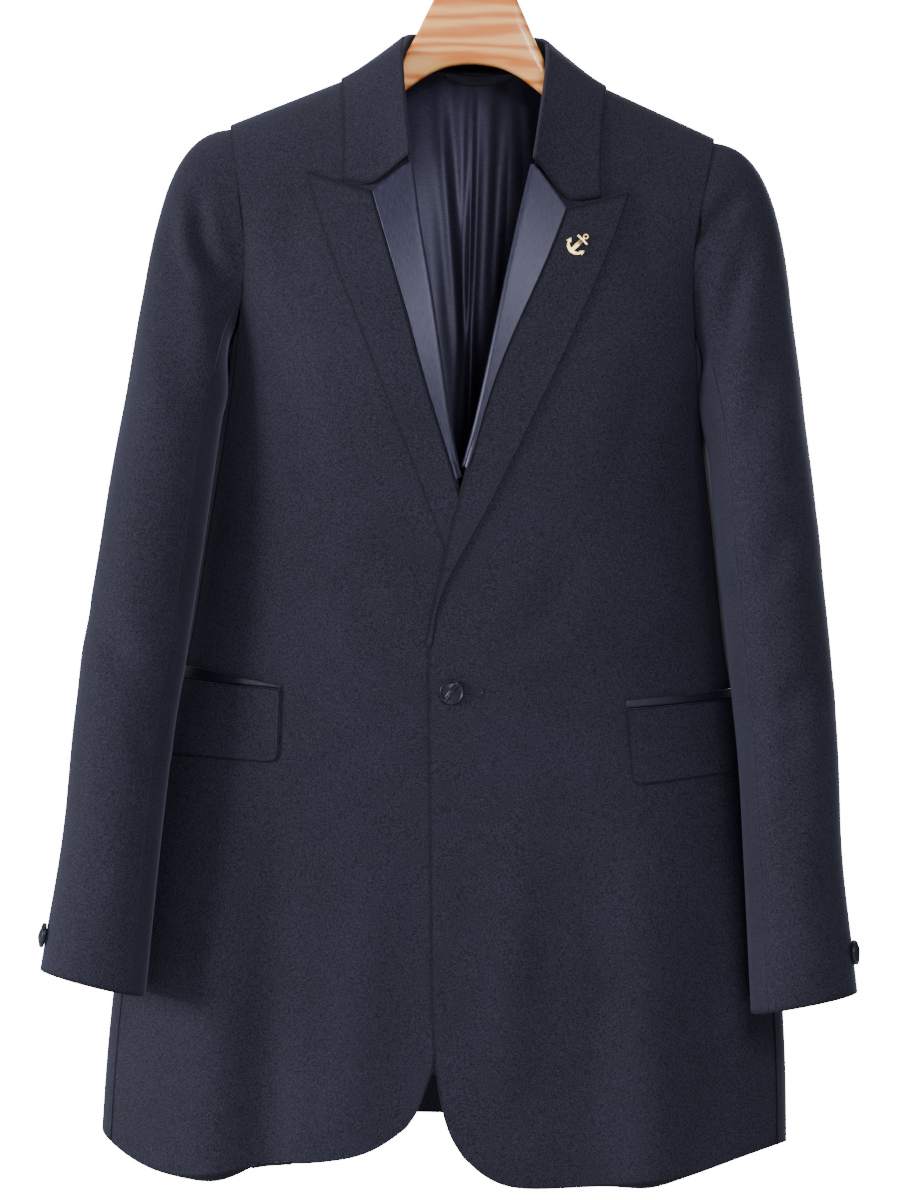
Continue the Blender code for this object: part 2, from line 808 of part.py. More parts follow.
def satin_grid(side, edge, surface):
    """The satin of a lapel: round the roll edge from inside the front, then out to the seam."""
    seam = SATIN_SEAM[side]
    low_in, low_out = SATIN_END[side]
    grid = []
    for t in np.linspace(0, 1, SATIN_COUNT):
        z_in = GORGE_TOP + (low_in - GORGE_TOP) * t
        z_out = NOTCH[side][1] + (low_out - NOTCH[side][1]) * t
        x_in, x_out = edge_x(edge, z_in), read(seam, "z", "x", z_out) - 3 * SEAM_GAP
        start = lifted(surface, (side * (x_in + 1.0), -80, z_in), 0)
        beyond = lifted(surface, (side * (x_in + 9.0), -80, z_in), 0)
        along = (beyond - start) / np.linalg.norm(beyond - start)
        out = np.array([along[1], -along[0], 0.0]) * side
        out = out / np.linalg.norm(out)
        if out[1] > 0:
            out = -out
        end = start - along * 1.0
        hem = max(WRAP_HEM * (1 - 0.6 * t), 3)
        lift = LAYER_GAP + 0.2 + CLOTH
        line = [end + along * hem - out * (CLOTH + lift), end + along * 1.2 - out * (CLOTH + lift)]
        for turn in WRAP_ARC:
            a = math.radians(turn)
            radius = CLOTH / 2 + lift
            line.append(end - out * CLOTH / 2 + radius * (math.cos(a) * out - math.sin(a) * along))
        width = max(x_out - x_in, 1.2)
        for share in (0.12, 0.34, 0.56, 0.78, 1.0):
            x = x_in + width * share
            z = z_in + (z_out - z_in) * share
            line.append(lifted(surface, (side * x, -80, z), lift))
        grid.append(line)
    return np.array(grid)


def wool_grid(side, edge, surface):
    """The wool of a lapel, from the satin or the roll edge to its outer edge."""
    seam, outer = SATIN_SEAM[side], LAPEL_EDGE[side]
    end = outer[-1]["z"]
    satin_low = SATIN_END[side][1]
    levels = list(np.linspace(NOTCH[side][1], satin_low, SATIN_COUNT))
    levels += list(np.linspace(satin_low, end, WOOL_COUNT + 1)[1:])
    grid = []
    for z_in in levels:
        t = (z_in - levels[0]) / (levels[-1] - levels[0])
        z_out = outer[0]["z"] + (end - outer[0]["z"]) * t
        shared = smooth(452, 476, -z_in)
        x_in = read(seam, "z", "x", z_in) * (1 - shared) + (edge_x(edge, z_in) + 1.4) * shared
        x_in = max(x_in, edge_x(edge, z_in) + 3.0 * (1 - shared))
        x_out = max(read(outer, "z", "x", z_out), x_in + 2.6)
        line = []
        for share in (0, 0.17, 0.34, 0.5, 0.67, 0.84, 1.0):
            x = x_in + (x_out - x_in) * share
            z = z_in + (z_out - z_in) * share
            line.append(lifted(surface, (side * x, -80, z), LAYER_GAP + 0.1 + CLOTH + 0.2 * shared))
        grid.append(line)
    return np.array(grid)


lapels = {}
for side, word, edge in ((1, "left", EDGE_OVER), (-1, "right", EDGE_UNDER)):
    surface = surface_of([fronts[side]])
    satin = satin_grid(side, edge, surface)
    sheet(f"lapel_satin_{word}", satin, CLOTH, "satin", lambda grid: wrap_facing(grid))
    wool = wool_grid(side, edge, surface)
    lapels[side] = sheet(f"lapel_wool_{word}", wool, CLOTH, "wool", forward)

# Collar: neck side, fold and fall in one sheet, from one gorge to the other
COLLAR = rows(
    "fold_x fold_y fold_z neck_x neck_y neck_z edge_x edge_y edge_z",
    (48.2, -71, -202.5, 48.5, -57.0, -201.5, 104.8, -74, -229.0),
    (49.6, -65, -189.0, 49.8, -51.0, -189.0, 104.3, -68, -206.0),
    (52.0, -55, -169.0, 53.0, -44.5, -174.0, 104.3, -58, -181.0),
    (54.4, -42.5, -148.0, 55.8, -34.5, -157.0, 104.3, -38, -161.0),
    (56.5, -28, -127.0, 59.2, -22.5, -141.0, 104.8, -22, -147.5),
    (57.3, -14, -111.0, 61.8, -11.5, -130.0, 105.0, -8, -141.5),
    (56.5, 4, -101.0, 63.2, 3.0, -122.0, 103.0, 8, -140.0),
    (52.0, 24, -96.5, 59.0, 24.5, -119.5, 97.0, 28, -139.5),
    (43.0, 42, -93.5, 48.5, 41.5, -118.5, 82.0, 48, -137.5),
    (30.0, 55, -91.5, 33.0, 53.0, -117.5, 58.0, 66, -135.5),
    (15.0, 61.5, -91.0, 16.5, 59.5, -117.0, 28.0, 74, -134.0),
    (0.0, 64.0, -91.0, 0.0, 61.0, -117.0, 0.0, 77, -133.5),
)
FALL_SHARES = (0.12, 0.34, 0.56, 0.78, 1.0)
FOLD_RADIUS = 2.2
NECK_CLEAR = 1.4


def pushed_out(surface, point, gap, exact=False):
    """The point at least a gap above the nearest cloth, or just at the gap."""
    near, normal, _, _ = surface.find_nearest(Vector(point))
    from_middle_line = Vector((near.x * 0.4, near.y, 40.0 if near.z > -150 else 0.0))
    if normal.dot(from_middle_line) < 0:
        normal = -normal
    height = (Vector(point) - near).dot(normal)
    if exact or height < gap:
        return np.array(near + normal * gap)
    return np.array(point, float)


def collar_line(side, row, end_share, surface):
    fold = np.array([side * row["fold_x"], row["fold_y"], row["fold_z"]])
    neck = np.array([side * row["neck_x"], row["neck_y"], row["neck_z"]])
    inward = np.array([-neck[0], 12 - neck[1], 0.0])
    neck = neck + inward / np.linalg.norm(inward) * NECK_CLEAR
    edge = np.array([side * row["edge_x"], row["edge_y"], row["edge_z"]])
    lift = COLLAR_GAP + CLOTH
    edge = pushed_out(surface, edge, lift, exact=True)
    down = (neck - fold) / np.linalg.norm(neck - fold) + (edge - fold) / np.linalg.norm(edge - fold)
    down = down / np.linalg.norm(down)
    across = (neck - edge) - down * np.dot(neck - edge, down)
    across = across / np.linalg.norm(across)
    hub = fold + down * FOLD_RADIUS
    line = [neck, neck + (hub + across * FOLD_RADIUS - neck) * 0.5, hub + across * FOLD_RADIUS]
    line += [hub + (across - down) * FOLD_RADIUS * 0.72, hub + (-across - down) * FOLD_RADIUS * 0.72]
    start = hub - across * FOLD_RADIUS
    line.append(start)
    for share in FALL_SHARES:
        point = start + (edge - start) * share
        if end_share > 0:
            notch_x, notch_z = NOTCH[side]
            gorge = np.array([side * notch_x, -78.0, notch_z + 4.2])
            bend = min(share / 0.56, 1) if share <= 0.56 else 1 - (share - 0.56) / 0.44
            straight = start + (edge - start) * 0.56
            gorge[1] = straight[1]
            point = point + (gorge - straight) * bend * end_share
        line.append(pushed_out(surface, point, lift, exact=end_share > 0.9 and share > 0.3))
    return line


def between(first, second, share):
    return {key: first[key] + (second[key] - first[key]) * share for key in first}


def collar_grid(surface):
    half_rows = []
    for k, row in enumerate(COLLAR):
        half_rows.append(row)
        if k + 1 < len(COLLAR) and 3 <= k <= 8:
            half_rows.append(between(row, COLLAR[k + 1], 0.5))
    grid = []
    for side in (1, -1):
        part = []
        for k, row in enumerate(half_rows):
            row = dict(row)
            if side > 0 and k == 0:
                row["edge_z"] += 1.0
            if side < 0 and k == 0:
                row["edge_z"] += 10.0
            if side < 0 and k == 1:
                row["edge_z"] += 4
            end_share = (1.0, 0.45, 0.12)[k] if k < 3 else 0.0
            part.append(collar_line(side, row, end_share, surface))
        grid += part if side > 0 else part[-2::-1]
    return np.array(grid)


def collar_facing(grid):
    facing = np.zeros(grid.shape)
    facing[:, -4:, :2] = grid[:, -4:, :2]
    facing[:, -4:, 2] = 30
    return facing


panels = surface_of([fronts[1], fronts[-1], backs[1], backs[-1]])
sheet("collar", collar_grid(panels), CLOTH, "wool", collar_facing)

# Pocket flaps and the satin welts above them
POCKETS = rows(
    "side x top top_slope slant low low_slope welt_in welt_out",
    (-1, 137.3, -623.5, 0.057, 1.1, -681.4, 0.045, 2.0, 9.5),
    (1, 132.3, -631.5, 0.100, 7.0, -691.4, 0.130, 6.0, 6.8),
)
FLAP_WIDTH = 118
FLAP_CORNER = 7


def skirt_line(side, z, x_from, length):
    """A level line on the skirt from a distance to the centre round toward the side."""
    edge, hem = (EDGE_OVER, HEM_OVER) if side > 0 else (EDGE_UNDER, HEM_UNDER)
    line = [p for p in lower_front_row(side, z, edge, hem, 0) if abs(p[0]) > x_from]
    start = front_point(side, x_from, z)
    line = np.array([start] + line + side_row(side, z, hem, 0)[1:])
    steps = np.linalg.norm(np.diff(line, axis=0), axis=1)
    run = np.concatenate([[0], np.cumsum(steps)])
    return [np.interp(length, run, line[:, k]) for k in range(3)]


def pocket_pieces(row, word):
    side = row["side"]
    panels = surface_of([fronts[side], sides[side]])
    lift = LAYER_GAP + 0.2 + CLOTH
    flap, welt = [], []
    for share in (0, 0.06, 0.3, 0.6, 0.92, 1.0):
        line = []
        for t in (0, 0.03, 0.1, 0.2, 0.3, 0.4, 0.5, 0.6, 0.7, 0.8, 0.9, 0.97, 1.0):
            along = FLAP_WIDTH * t
            corner = FLAP_CORNER * (1 - math.sqrt(1 - (1 - min(min(t, 1 - t) / 0.06, 1)) ** 2))
            top = row["top"] + row["top_slope"] * along
            low = row["low"] + row["low_slope"] * min(along, 90) + corner * 0.8
            z = top + (low - top) * share
            point = skirt_line(side, z, row["x"] + row["slant"] * share * (1 - t), along)
            line.append(pushed_out(panels, point, lift, exact=True))
        flap.append(line)
    for share in (0, 1.0):
        line = []
        for t in (0, 0.1, 0.2, 0.3, 0.4, 0.5, 0.6, 0.7, 0.8, 0.9, 1.0):
            along = FLAP_WIDTH * t - 1.5 * (1 - t)
            top = row["top"] + row["top_slope"] * along + 0.9
            tall = row["welt_in"] + (row["welt_out"] - row["welt_in"]) * min(t / 0.65, 1)
            point = skirt_line(side, top + tall * (1 - share), row["x"], max(along, 0))
            line.append(pushed_out(panels, point, lift, exact=True))
        welt.append(line)
    sheet(f"pocket_flap_{word}", np.array(flap), CLOTH, "wool", from_middle)
    sheet(f"pocket_welt_{word}", np.array(welt), CLOTH, "satin", from_middle)


for row in POCKETS:
    pocket_pieces(row, "left" if row["side"] > 0 else "right")

# Covered buttons: a dome with a folded ridge across it
DOME = rows("radius height", (9.1, 0.0), (9.5, 1.0), (9.3, 2.3), (8.2, 3.6), (6.2, 4.5), (3.4, 5.0))
BUTTON_SIDES = 20
RIDGE_ANGLE = 52


def button(name, centre, facing, ridge_angle):
    facing = Vector(facing).normalized()
    right = facing.cross(Vector((0, 0, 1))).normalized() * -1
    up = right.cross(facing) * -1
    if up.z < 0:
        up = -up
    points = []
    ridge = math.radians(ridge_angle)
    for row in DOME:
        for k in range(BUTTON_SIDES):
            a = 2 * math.pi * k / BUTTON_SIDES
            u, v = row["radius"] * math.cos(a), row["radius"] * math.sin(a)
            off = -u * math.sin(ridge) + v * math.cos(ridge)
            lift = row["height"] + 0.7 * math.exp(-((off / 1.6) ** 2)) * smooth(0.5, 4, row["height"])
            points.append(Vector(centre) + right * u + up * v + facing * lift)
    points.append(Vector(centre))
    points.append(Vector(centre) + facing * 5.8)
    faces = []
    for ring in range(len(DOME) - 1):
        for k in range(BUTTON_SIDES):
            m = (k + 1) % BUTTON_SIDES
            a, b = ring * BUTTON_SIDES + k, ring * BUTTON_SIDES + m
            faces += [(a, b, b + BUTTON_SIDES), (a, b + BUTTON_SIDES, a + BUTTON_SIDES)]
    base, crown = len(points) - 2, len(points) - 1
    last = (len(DOME) - 1) * BUTTON_SIDES
    for k in range(BUTTON_SIDES):
        m = (k + 1) % BUTTON_SIDES
        faces += [(base, m, k), (crown, last + k, last + m)]
    solid(name, points, faces, "satin")


front_surface = surface_of([fronts[1]])
BUTTON_X, BUTTON_Z = -4.0, -621.7
seat = lifted(front_surface, (BUTTON_X, -80, BUTTON_Z), 0.5)
facing = seat - lifted(front_surface, (BUTTON_X, -80, BUTTON_Z), 0)
button("front_button", seat, facing, RIDGE_ANGLE)
CUFF_BUTTONS = rows("side turn z", (1, 13, -824), (-1, 8, -829))
for row in CUFF_BUTTONS:
    side = row["side"]
    sleeve = surface_of([sleeves[side]])
    on_ring = ring_at(side, row["turn"] + 3, row["z"])
    toward = Vector((side * math.cos(math.radians(32)), -math.sin(math.radians(32)), 0))
    seat = lifted(sleeve, on_ring, 0.5, toward)
    facing = seat - lifted(sleeve, on_ring, 0, toward)
    button(f"cuff_button_{'left' if side > 0 else 'right'}", seat, facing, RIDGE_ANGLE)

# Back lining with its centre pleat and soft folds
LINING_ROWS = (1, 2, 3, 4, 5, 6, 7, 8)
LINING_LEVELS = (-345, -400, -480, -570, -660, -760, -850, -935)
LINING_FOLDS = rows(
    "x_top x_low z_low width depth",
    (2.5, 2.5, -940, 6.0, 5.0),
    (-21, 0, -345, 7.0, 3.5),
    (30, 25, -420, 8.0, 4.5),
    (-40, -33, -420, 9.0, 3.5),
    (14, 10, -700, 8.0, 2.0),
    (-70, -84, -900, 16.0, 6.0),
    (66, 80, -900, 16.0, 6.0),
)
LINING_CENTRE = 54
LINING_GAP = 0.6


def lining_fold(x, z):
    total = 0.0
    for row in LINING_FOLDS:
        t = min(max((z + 120) / (row["z_low"] + 120), 0), 1)
        middle = row["x_top"] + (row["x_low"] - row["x_top"]) * t
        fade = 1 - smooth(0.9, 1.15, (z + 120) / (row["z_low"] + 120))
        total += row["depth"] * fade * math.exp(-(((x - middle) / row["width"]) ** 2))
    return total * smooth(116, 170, -z) + total * 0.25 * (1 - smooth(116, 170, -z))


def lining_grid():
    inner_xs = np.linspace(-LINING_CENTRE, LINING_CENTRE, 19)
    grid = []
    for k in range(len(LINING_ROWS) + len(LINING_LEVELS)):
        upper = k < len(LINING_ROWS)
        row = UPPER_BACK[LINING_ROWS[k]] if upper else None
        z = None if upper else LINING_LEVELS[k - len(LINING_ROWS)]
        reach = read(ARMHOLE, "z", "x", row["z_out"]) - 9 if upper else body("half", z) * 0.88
        outer = [LINING_CENTRE + (reach - LINING_CENTRE) * t for t in (0.14, 0.3, 0.5, 0.75, 1.0)]
        xs = [-x for x in outer[::-1]] + list(inner_xs) + outer
        line = []
        for x in xs:
            side = 1 if x >= 0 else -1
            if upper:
                lower = 34 * smooth(50, 90, abs(x)) * (1 - smooth(20, 130, row["drop_in"]))
                line.append(upper_back_point(side, row, abs(x), lower))
            else:
                line.append(back_point(side, abs(x), z))
        grid.append(line)
    grid = np.array(grid)
    normals = grid_normals(grid)
    if normals[5, 15, 1] < 0:
        normals = -normals
    shift = np.array([[lining_fold(p[0], p[2]) for p in line] for line in grid])
    away = np.array([[2.4 * smooth(30, 110, abs(p[0])) for p in line] for line in grid])
    return grid - normals * (CLOTH + LINING_GAP + LINING + shift + away)[..., None]


lining = sheet("lining_back", lining_grid(), LINING, "lining", forward)

# Satin loop below the back of the neck
LOOP = rows(
    "x z away",
    (-23, -124.5, 0.4),
    (-17, -126.0, 0.8),
    (-8, -128.5, 1.8),
    (3, -129.5, 2.2),
    (14, -128.5, 1.8),
    (24, -126.0, 0.8),
    (31, -124.5, 0.4),
)
LOOP_TALL = 7
lining_surface = surface_of([lining])
loop = []
for share in (0.5, -0.5):
    line = []
    for row in LOOP:
        at = (row["x"], 40, row["z"] + LOOP_TALL * share)
        hit = lifted(lining_surface, at, 0)
        line.append(hit - np.array([0, row["away"] + 1.0 + 0.3, 0]))
    loop.append(line)
sheet("hanger_loop", np.array(loop), 1.0, "satin", forward)

# Wooden hanger
HANGER = rows(
    "x top low y depth power",
    (0.0, -64.9, -121.6, 0.0, 7.5, 4.0),
    (20.0, -64.9, -124.2, 0.0, 7.5, 4.0),
    (29.5, -64.9, -128.2, 0.0, 7.5, 4.0),
    (33.0, -69.4, -130.0, 0.0, 7.5, 4.0),
    (35.6, -75.5, -131.3, 0.0, 7.5, 4.0),
    (41.0, -86.7, -134.8, 0.0, 7.5, 4.0),
    (47.6, -102.0, -139.6, 0.0, 7.5, 3.6),
    (52.0, -109.5, -143.0, 0.0, 7.5, 3.4),
    (55.6, -117.0, -146.0, 0.0, 7.5, 3.2),
    (57.5, -124.0, -147.6, 0.0, 7.5, 3.0),
    (59.5, -132.5, -149.3, 0.0, 7.5, 3.0),
    (72.0, -134.5, -157.0, -0.5, 9.0, 2.8),
    (88.0, -137.5, -164.5, -1.0, 10.5, 2.6),
    (104.0, -140.0, -171.5, -1.0, 12.0, 2.4),
    (124.0, -148.0, -180.0, -1.0, 14.0, 2.4),
    (144.0, -157.0, -188.5, -1.0, 16.0, 2.4),
    (164.0, -166.0, -197.0, -1.0, 18.0, 2.4),
    (178.0, -172.0, -203.5, -1.0, 18.5, 2.4),
    (186.0, -176.0, -205.0, -1.0, 16.5, 2.2),
    (188.5, -180.0, -201.0, -1.0, 12.0, 2.2),
)
HANGER_SIDES = 16
HANGER_REST = 0.35


def hanger_section(x, row, inside):
    middle = (row["top"] + row["low"]) / 2
    tall = (row["top"] - row["low"]) / 2
    section = []
    for k in range(HANGER_SIDES):
        a = 2 * math.pi * k / HANGER_SIDES
        c, s = math.cos(a), math.sin(a)
        y = row["y"] + row["depth"] * math.copysign(abs(c) ** (2 / row["power"]), c)
        z = middle + tall * math.copysign(abs(s) ** (2 / row["power"]), s)
        section.append(Vector((x, y, z)))
    if row["x"] < 80:
        return section
    room = []
    for point in section:
        if point.z > middle:
            hit = inside.ray_cast(Vector((x, point.y, middle)), Vector((0, 0, 1)), 120)[0]
            if hit is not None:
                room.append(hit.z - point.z)
    drop = min(room) - HANGER_REST * 1.1
    return [p + Vector((0, 0, drop if p.z > middle else 0)) for p in section]


inside = surface_of([fronts[1], fronts[-1], backs[1], backs[-1]], "inner")
sections = [hanger_section(-row["x"], row, inside) for row in HANGER[:0:-1]]
sections += [hanger_section(row["x"], row, inside) for row in HANGER]
points = [p for section in sections for p in section]
faces = []
for i in range(len(sections) - 1):
    for k in range(HANGER_SIDES):
        a, b = i * HANGER_SIDES + k, i * HANGER_SIDES + (k + 1) % HANGER_SIDES
        faces += [(a, b, b + HANGER_SIDES), (a, b + HANGER_SIDES, a + HANGER_SIDES)]
faces.append(tuple(range(HANGER_SIDES))[::-1])
faces.append(tuple(len(points) - HANGER_SIDES + k for k in range(HANGER_SIDES)))
solid("hanger_wood", points, faces, "wood")

# Steel hook: bearing point at the origin, above the wood
HOOK_RADIUS = 21
WIRE = 2.0
WIRE_SIDES = 8
WOOD_TOP = -64.9


def hook_path():
    """The middle of the wire: up the stem, round to the right and over to the left."""
    centre = Vector((0, 0, -HOOK_RADIUS))
    ring = HOOK_RADIUS + WIRE
    path = [Vector((0, 0, WOOD_TOP + 3.2)), Vector((0, 0, -58)), Vector((0.6, 0, -53))]
    path += [Vector((3.5, 0, -47.5)), Vector((9.5, 0, -43.2))]
    for degrees in range(-50, 201, 14):
        a = math.radians(degrees)
        path.append(centre + Vector((ring * math.cos(a), 0, ring * math.sin(a))))
    return path


def tube(name, path, radius, kind, foot=None):
    points, faces = [], []
    for i, at in enumerate(path):
        ahead = path[min(i + 1, len(path) - 1)] - path[max(i - 1, 0)]
        ahead.normalize()
        side_way = Vector((0, 1, 0))
        up = side_way.cross(ahead)
        for k in range(WIRE_SIDES):
            a = 2 * math.pi * k / WIRE_SIDES
            points.append(at + (side_way * math.cos(a) + up * math.sin(a)) * radius)
    if foot:
        rings = []
        for wide, z in foot:
            for k in range(WIRE_SIDES):
                a = 2 * math.pi * k / WIRE_SIDES
                rings.append(Vector((math.sin(a) * wide * -1, math.cos(a) * wide, z)))
        points = rings + points
    count = len(points) // WIRE_SIDES
    for i in range(count - 1):
        for k in range(WIRE_SIDES):
            a, b = i * WIRE_SIDES + k, i * WIRE_SIDES + (k + 1) % WIRE_SIDES
            faces += [(a, b, b + WIRE_SIDES), (a, b + WIRE_SIDES, a + WIRE_SIDES)]
    faces.append(tuple(range(WIRE_SIDES))[::-1])
    faces.append(tuple(len(points) - WIRE_SIDES + k for k in range(WIRE_SIDES)))
    return solid(name, points, faces, kind)


foot = ((5.5, WOOD_TOP + 0.3), (5.5, WOOD_TOP + 1.6), (3.2, WOOD_TOP + 2.6))
tube("hanger_hook", hook_path(), WIRE, "steel", foot)

# Gold lapel pin: a plain anchor cut from one outline
ANCHOR_HALF = (
    (0.9, 6.1),
    (1.1, 5.4),
    (5.3, 5.5),
    (5.3, 3.6),
    (1.4, 3.6),
    (1.9, -1.2),
    (1.6, -6.5),
    (3.4, -5.9),
    (5.4, -4.3),
    (4.3, -3.6),
    (7.6, -0.4),
    (8.4, -5.0),
    (7.3, -4.5),
    (6.2, -6.9),
    (3.7, -9.0),
    (0.0, -10.3),
)
RING_Y, RING_OUT, RING_IN = 8.3, 2.3, 1.15
PIN_THICK = 1.4
PIN_X, PIN_Z = 84.9, -269.3
PIN_TURN = -45


def anchor_pin(name, surface):
    ring = []
    for degrees in (90, 60, 30, 0, -30, -65):
        a = math.radians(degrees)
        ring.append((RING_OUT * math.cos(a), RING_Y + RING_OUT * math.sin(a)))
    right = ring + list(ANCHOR_HALF)
    left = [(-x, y) for x, y in right[-2:0:-1]]
    turns = np.linspace(0, 2 * math.pi, 13)[:-1]
    hole = [(RING_IN * math.cos(a), RING_Y + RING_IN * math.sin(a)) for a in turns]
    curve = bpy.data.curves.new(name, "CURVE")
    curve.dimensions = "2D"
    curve.fill_mode = "BOTH"
    curve.extrude = PIN_THICK / 2
    for outline in (right + left, hole):
        spline = curve.splines.new("POLY")
        spline.points.add(len(outline) - 1)
        for point, (x, y) in zip(spline.points, outline):
            point.co = (x, y, 0, 1)
        spline.use_cyclic_u = True
    guide = bpy.data.objects.new(name + "_outline", curve)
    bpy.context.scene.collection.objects.link(guide)
    bpy.context.view_layer.update()
    flat = bpy.data.meshes.new_from_object(guide.evaluated_get(bpy.context.evaluated_depsgraph_get()))
    bpy.data.objects.remove(guide, do_unlink=True)
    work = bmesh.new()
    work.from_mesh(flat)
    bmesh.ops.remove_doubles(work, verts=work.verts, dist=0.001)
    bmesh.ops.triangulate(work, faces=work.faces)
    on = lifted(surface, (PIN_X, -80, PIN_Z), 0)
    beside = lifted(surface, (PIN_X + 8, -80, PIN_Z), 0)
    above = lifted(surface, (PIN_X, -80, PIN_Z + 8), 0)
    out = Vector(beside - on).cross(Vector(above - on)).normalized()
    if out.y > 0:
        out = -out
    turn = math.radians(PIN_TURN)
    level = Vector(beside - on).normalized()
    upright = out.cross(level).normalized()
    if upright.z < 0:
        upright = -upright
    across = level * math.cos(turn) + upright * math.sin(turn)
    along = upright * math.cos(turn) - level * math.sin(turn)
    base = Vector(on) + out * (PIN_THICK / 2 + 0.6)
    points = [base + across * v.co.x + along * v.co.y + out * v.co.z for v in work.verts]
    faces = [tuple(v.index for v in f.verts) for f in work.faces]
    work.free()
    solid(name, points, faces, "gold")


anchor_pin("lapel_pin", surface_of([lapels[1]]))
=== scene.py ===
import json
import math

import bmesh
import bpy
import numpy as np
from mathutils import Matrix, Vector
from mathutils.bvhtree import BVHTree

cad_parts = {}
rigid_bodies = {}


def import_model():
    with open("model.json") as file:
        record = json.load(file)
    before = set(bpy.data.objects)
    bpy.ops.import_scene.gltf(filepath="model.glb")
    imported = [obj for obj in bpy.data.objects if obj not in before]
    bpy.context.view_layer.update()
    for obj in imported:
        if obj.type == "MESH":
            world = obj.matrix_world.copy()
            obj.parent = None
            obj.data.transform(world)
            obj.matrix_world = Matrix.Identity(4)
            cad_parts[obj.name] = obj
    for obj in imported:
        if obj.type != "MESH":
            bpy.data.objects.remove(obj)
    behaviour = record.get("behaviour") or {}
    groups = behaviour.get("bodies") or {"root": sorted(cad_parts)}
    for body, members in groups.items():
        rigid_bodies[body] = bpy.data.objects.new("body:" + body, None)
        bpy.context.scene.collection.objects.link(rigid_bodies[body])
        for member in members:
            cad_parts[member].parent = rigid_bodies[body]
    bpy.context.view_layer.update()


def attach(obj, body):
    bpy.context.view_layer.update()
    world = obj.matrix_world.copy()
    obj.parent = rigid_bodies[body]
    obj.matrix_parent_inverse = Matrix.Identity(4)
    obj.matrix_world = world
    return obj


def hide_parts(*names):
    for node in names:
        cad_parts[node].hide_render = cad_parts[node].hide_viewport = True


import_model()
mm = 0.001
words = {1: "left", -1: "right"}    # the wearer's sides: left is +X


# Tables are in millimetres, one row per section, with named columns
def rows(names, *values):
    keys = names.split()
    return [dict(zip(keys, row)) for row in values]


def readAt(table, key, column, at):
    xs = [row[key] for row in table]
    ys = [row[column] for row in table]
    if xs[0] > xs[-1]:
        xs, ys = xs[::-1], ys[::-1]
    if at <= xs[0]:
        return ys[0]
    if at >= xs[-1]:
        return ys[-1]
    i = max(k for k in range(len(xs) - 1) if xs[k] <= at)
    slopes = []
    for k in (i, i + 1):
        low, high = max(k - 1, 0), min(k + 1, len(xs) - 1)
        slopes.append((ys[high] - ys[low]) / (xs[high] - xs[low]))
    step = xs[i + 1] - xs[i]
    t = (at - xs[i]) / step
    start = (2 * t**3 - 3 * t**2 + 1) * ys[i] + (t**3 - 2 * t**2 + t) * step * slopes[0]
    return start + (3 * t**2 - 2 * t**3) * ys[i + 1] + (t**3 - t**2) * step * slopes[1]


def smooth(low, high, value):
    t = min(max((value - low) / (high - low), 0), 1)
    return t * t * (3 - 2 * t)


cloth = {"thick": 1.6, "seamGap": 0.3, "layerGap": 0.8, "collarGap": 1.5}
halfGap = cloth["seamGap"] / 2


# Materials
def shaderTree(name):
    made = bpy.data.materials.new(name)
    made.use_nodes = True
    return made, made.node_tree, made.node_tree.nodes["Principled BSDF"]


def settle(node, settings):
    for key, value in settings.items():
        if isinstance(key, str) and hasattr(node, key):
            setattr(node, key, value)
        else:
            node.inputs[key].default_value = value


def addNode(tree, kind, settings, **links):
    node = tree.nodes.new("ShaderNode" + kind)
    settle(node, settings)
    for key, output in links.items():
        tree.links.new(output, node.inputs[key])
    return node


def mapped(tree, scale, uv=True, turn=0.0):
    source = addNode(tree, "UVMap", {"uv_map": "cut"}).outputs[0]
    if not uv:
        source = addNode(tree, "TexCoord", {}).outputs["Object"]
    settings = {"Scale": scale, "Rotation": (0, 0, math.radians(turn))}
    return addNode(tree, "Mapping", settings, Vector=source).outputs[0]


def noise(tree, scale, detail, roughness, vector):
    settings = {"Scale": scale, "Detail": detail, "Roughness": roughness}
    return addNode(tree, "TexNoise", settings, Vector=vector).outputs["Fac"]


def bands(tree, vector, settings):
    return addNode(tree, "TexWave", {"wave_type": "BANDS", **settings}, Vector=vector).outputs["Fac"]


def blended(tree, factor, look):
    settings = {"data_type": "RGBA", 6: (*look["dark"], 1), 7: (*look["light"], 1)}
    return addNode(tree, "Mix", settings, Factor=factor).outputs[2]


def ranged(tree, value, low, high, limits=(0.0, 1.0)):
    settings = {"From Min": limits[0], "From Max": limits[1], "To Min": low, "To Max": high}
    return addNode(tree, "MapRange", settings, Value=value).outputs[0]


def bumped(tree, height, strength, distance, **links):
    settings = {"Strength": strength, "Distance": distance * mm}
    return addNode(tree, "Bump", settings, Height=height, **links).outputs[0]


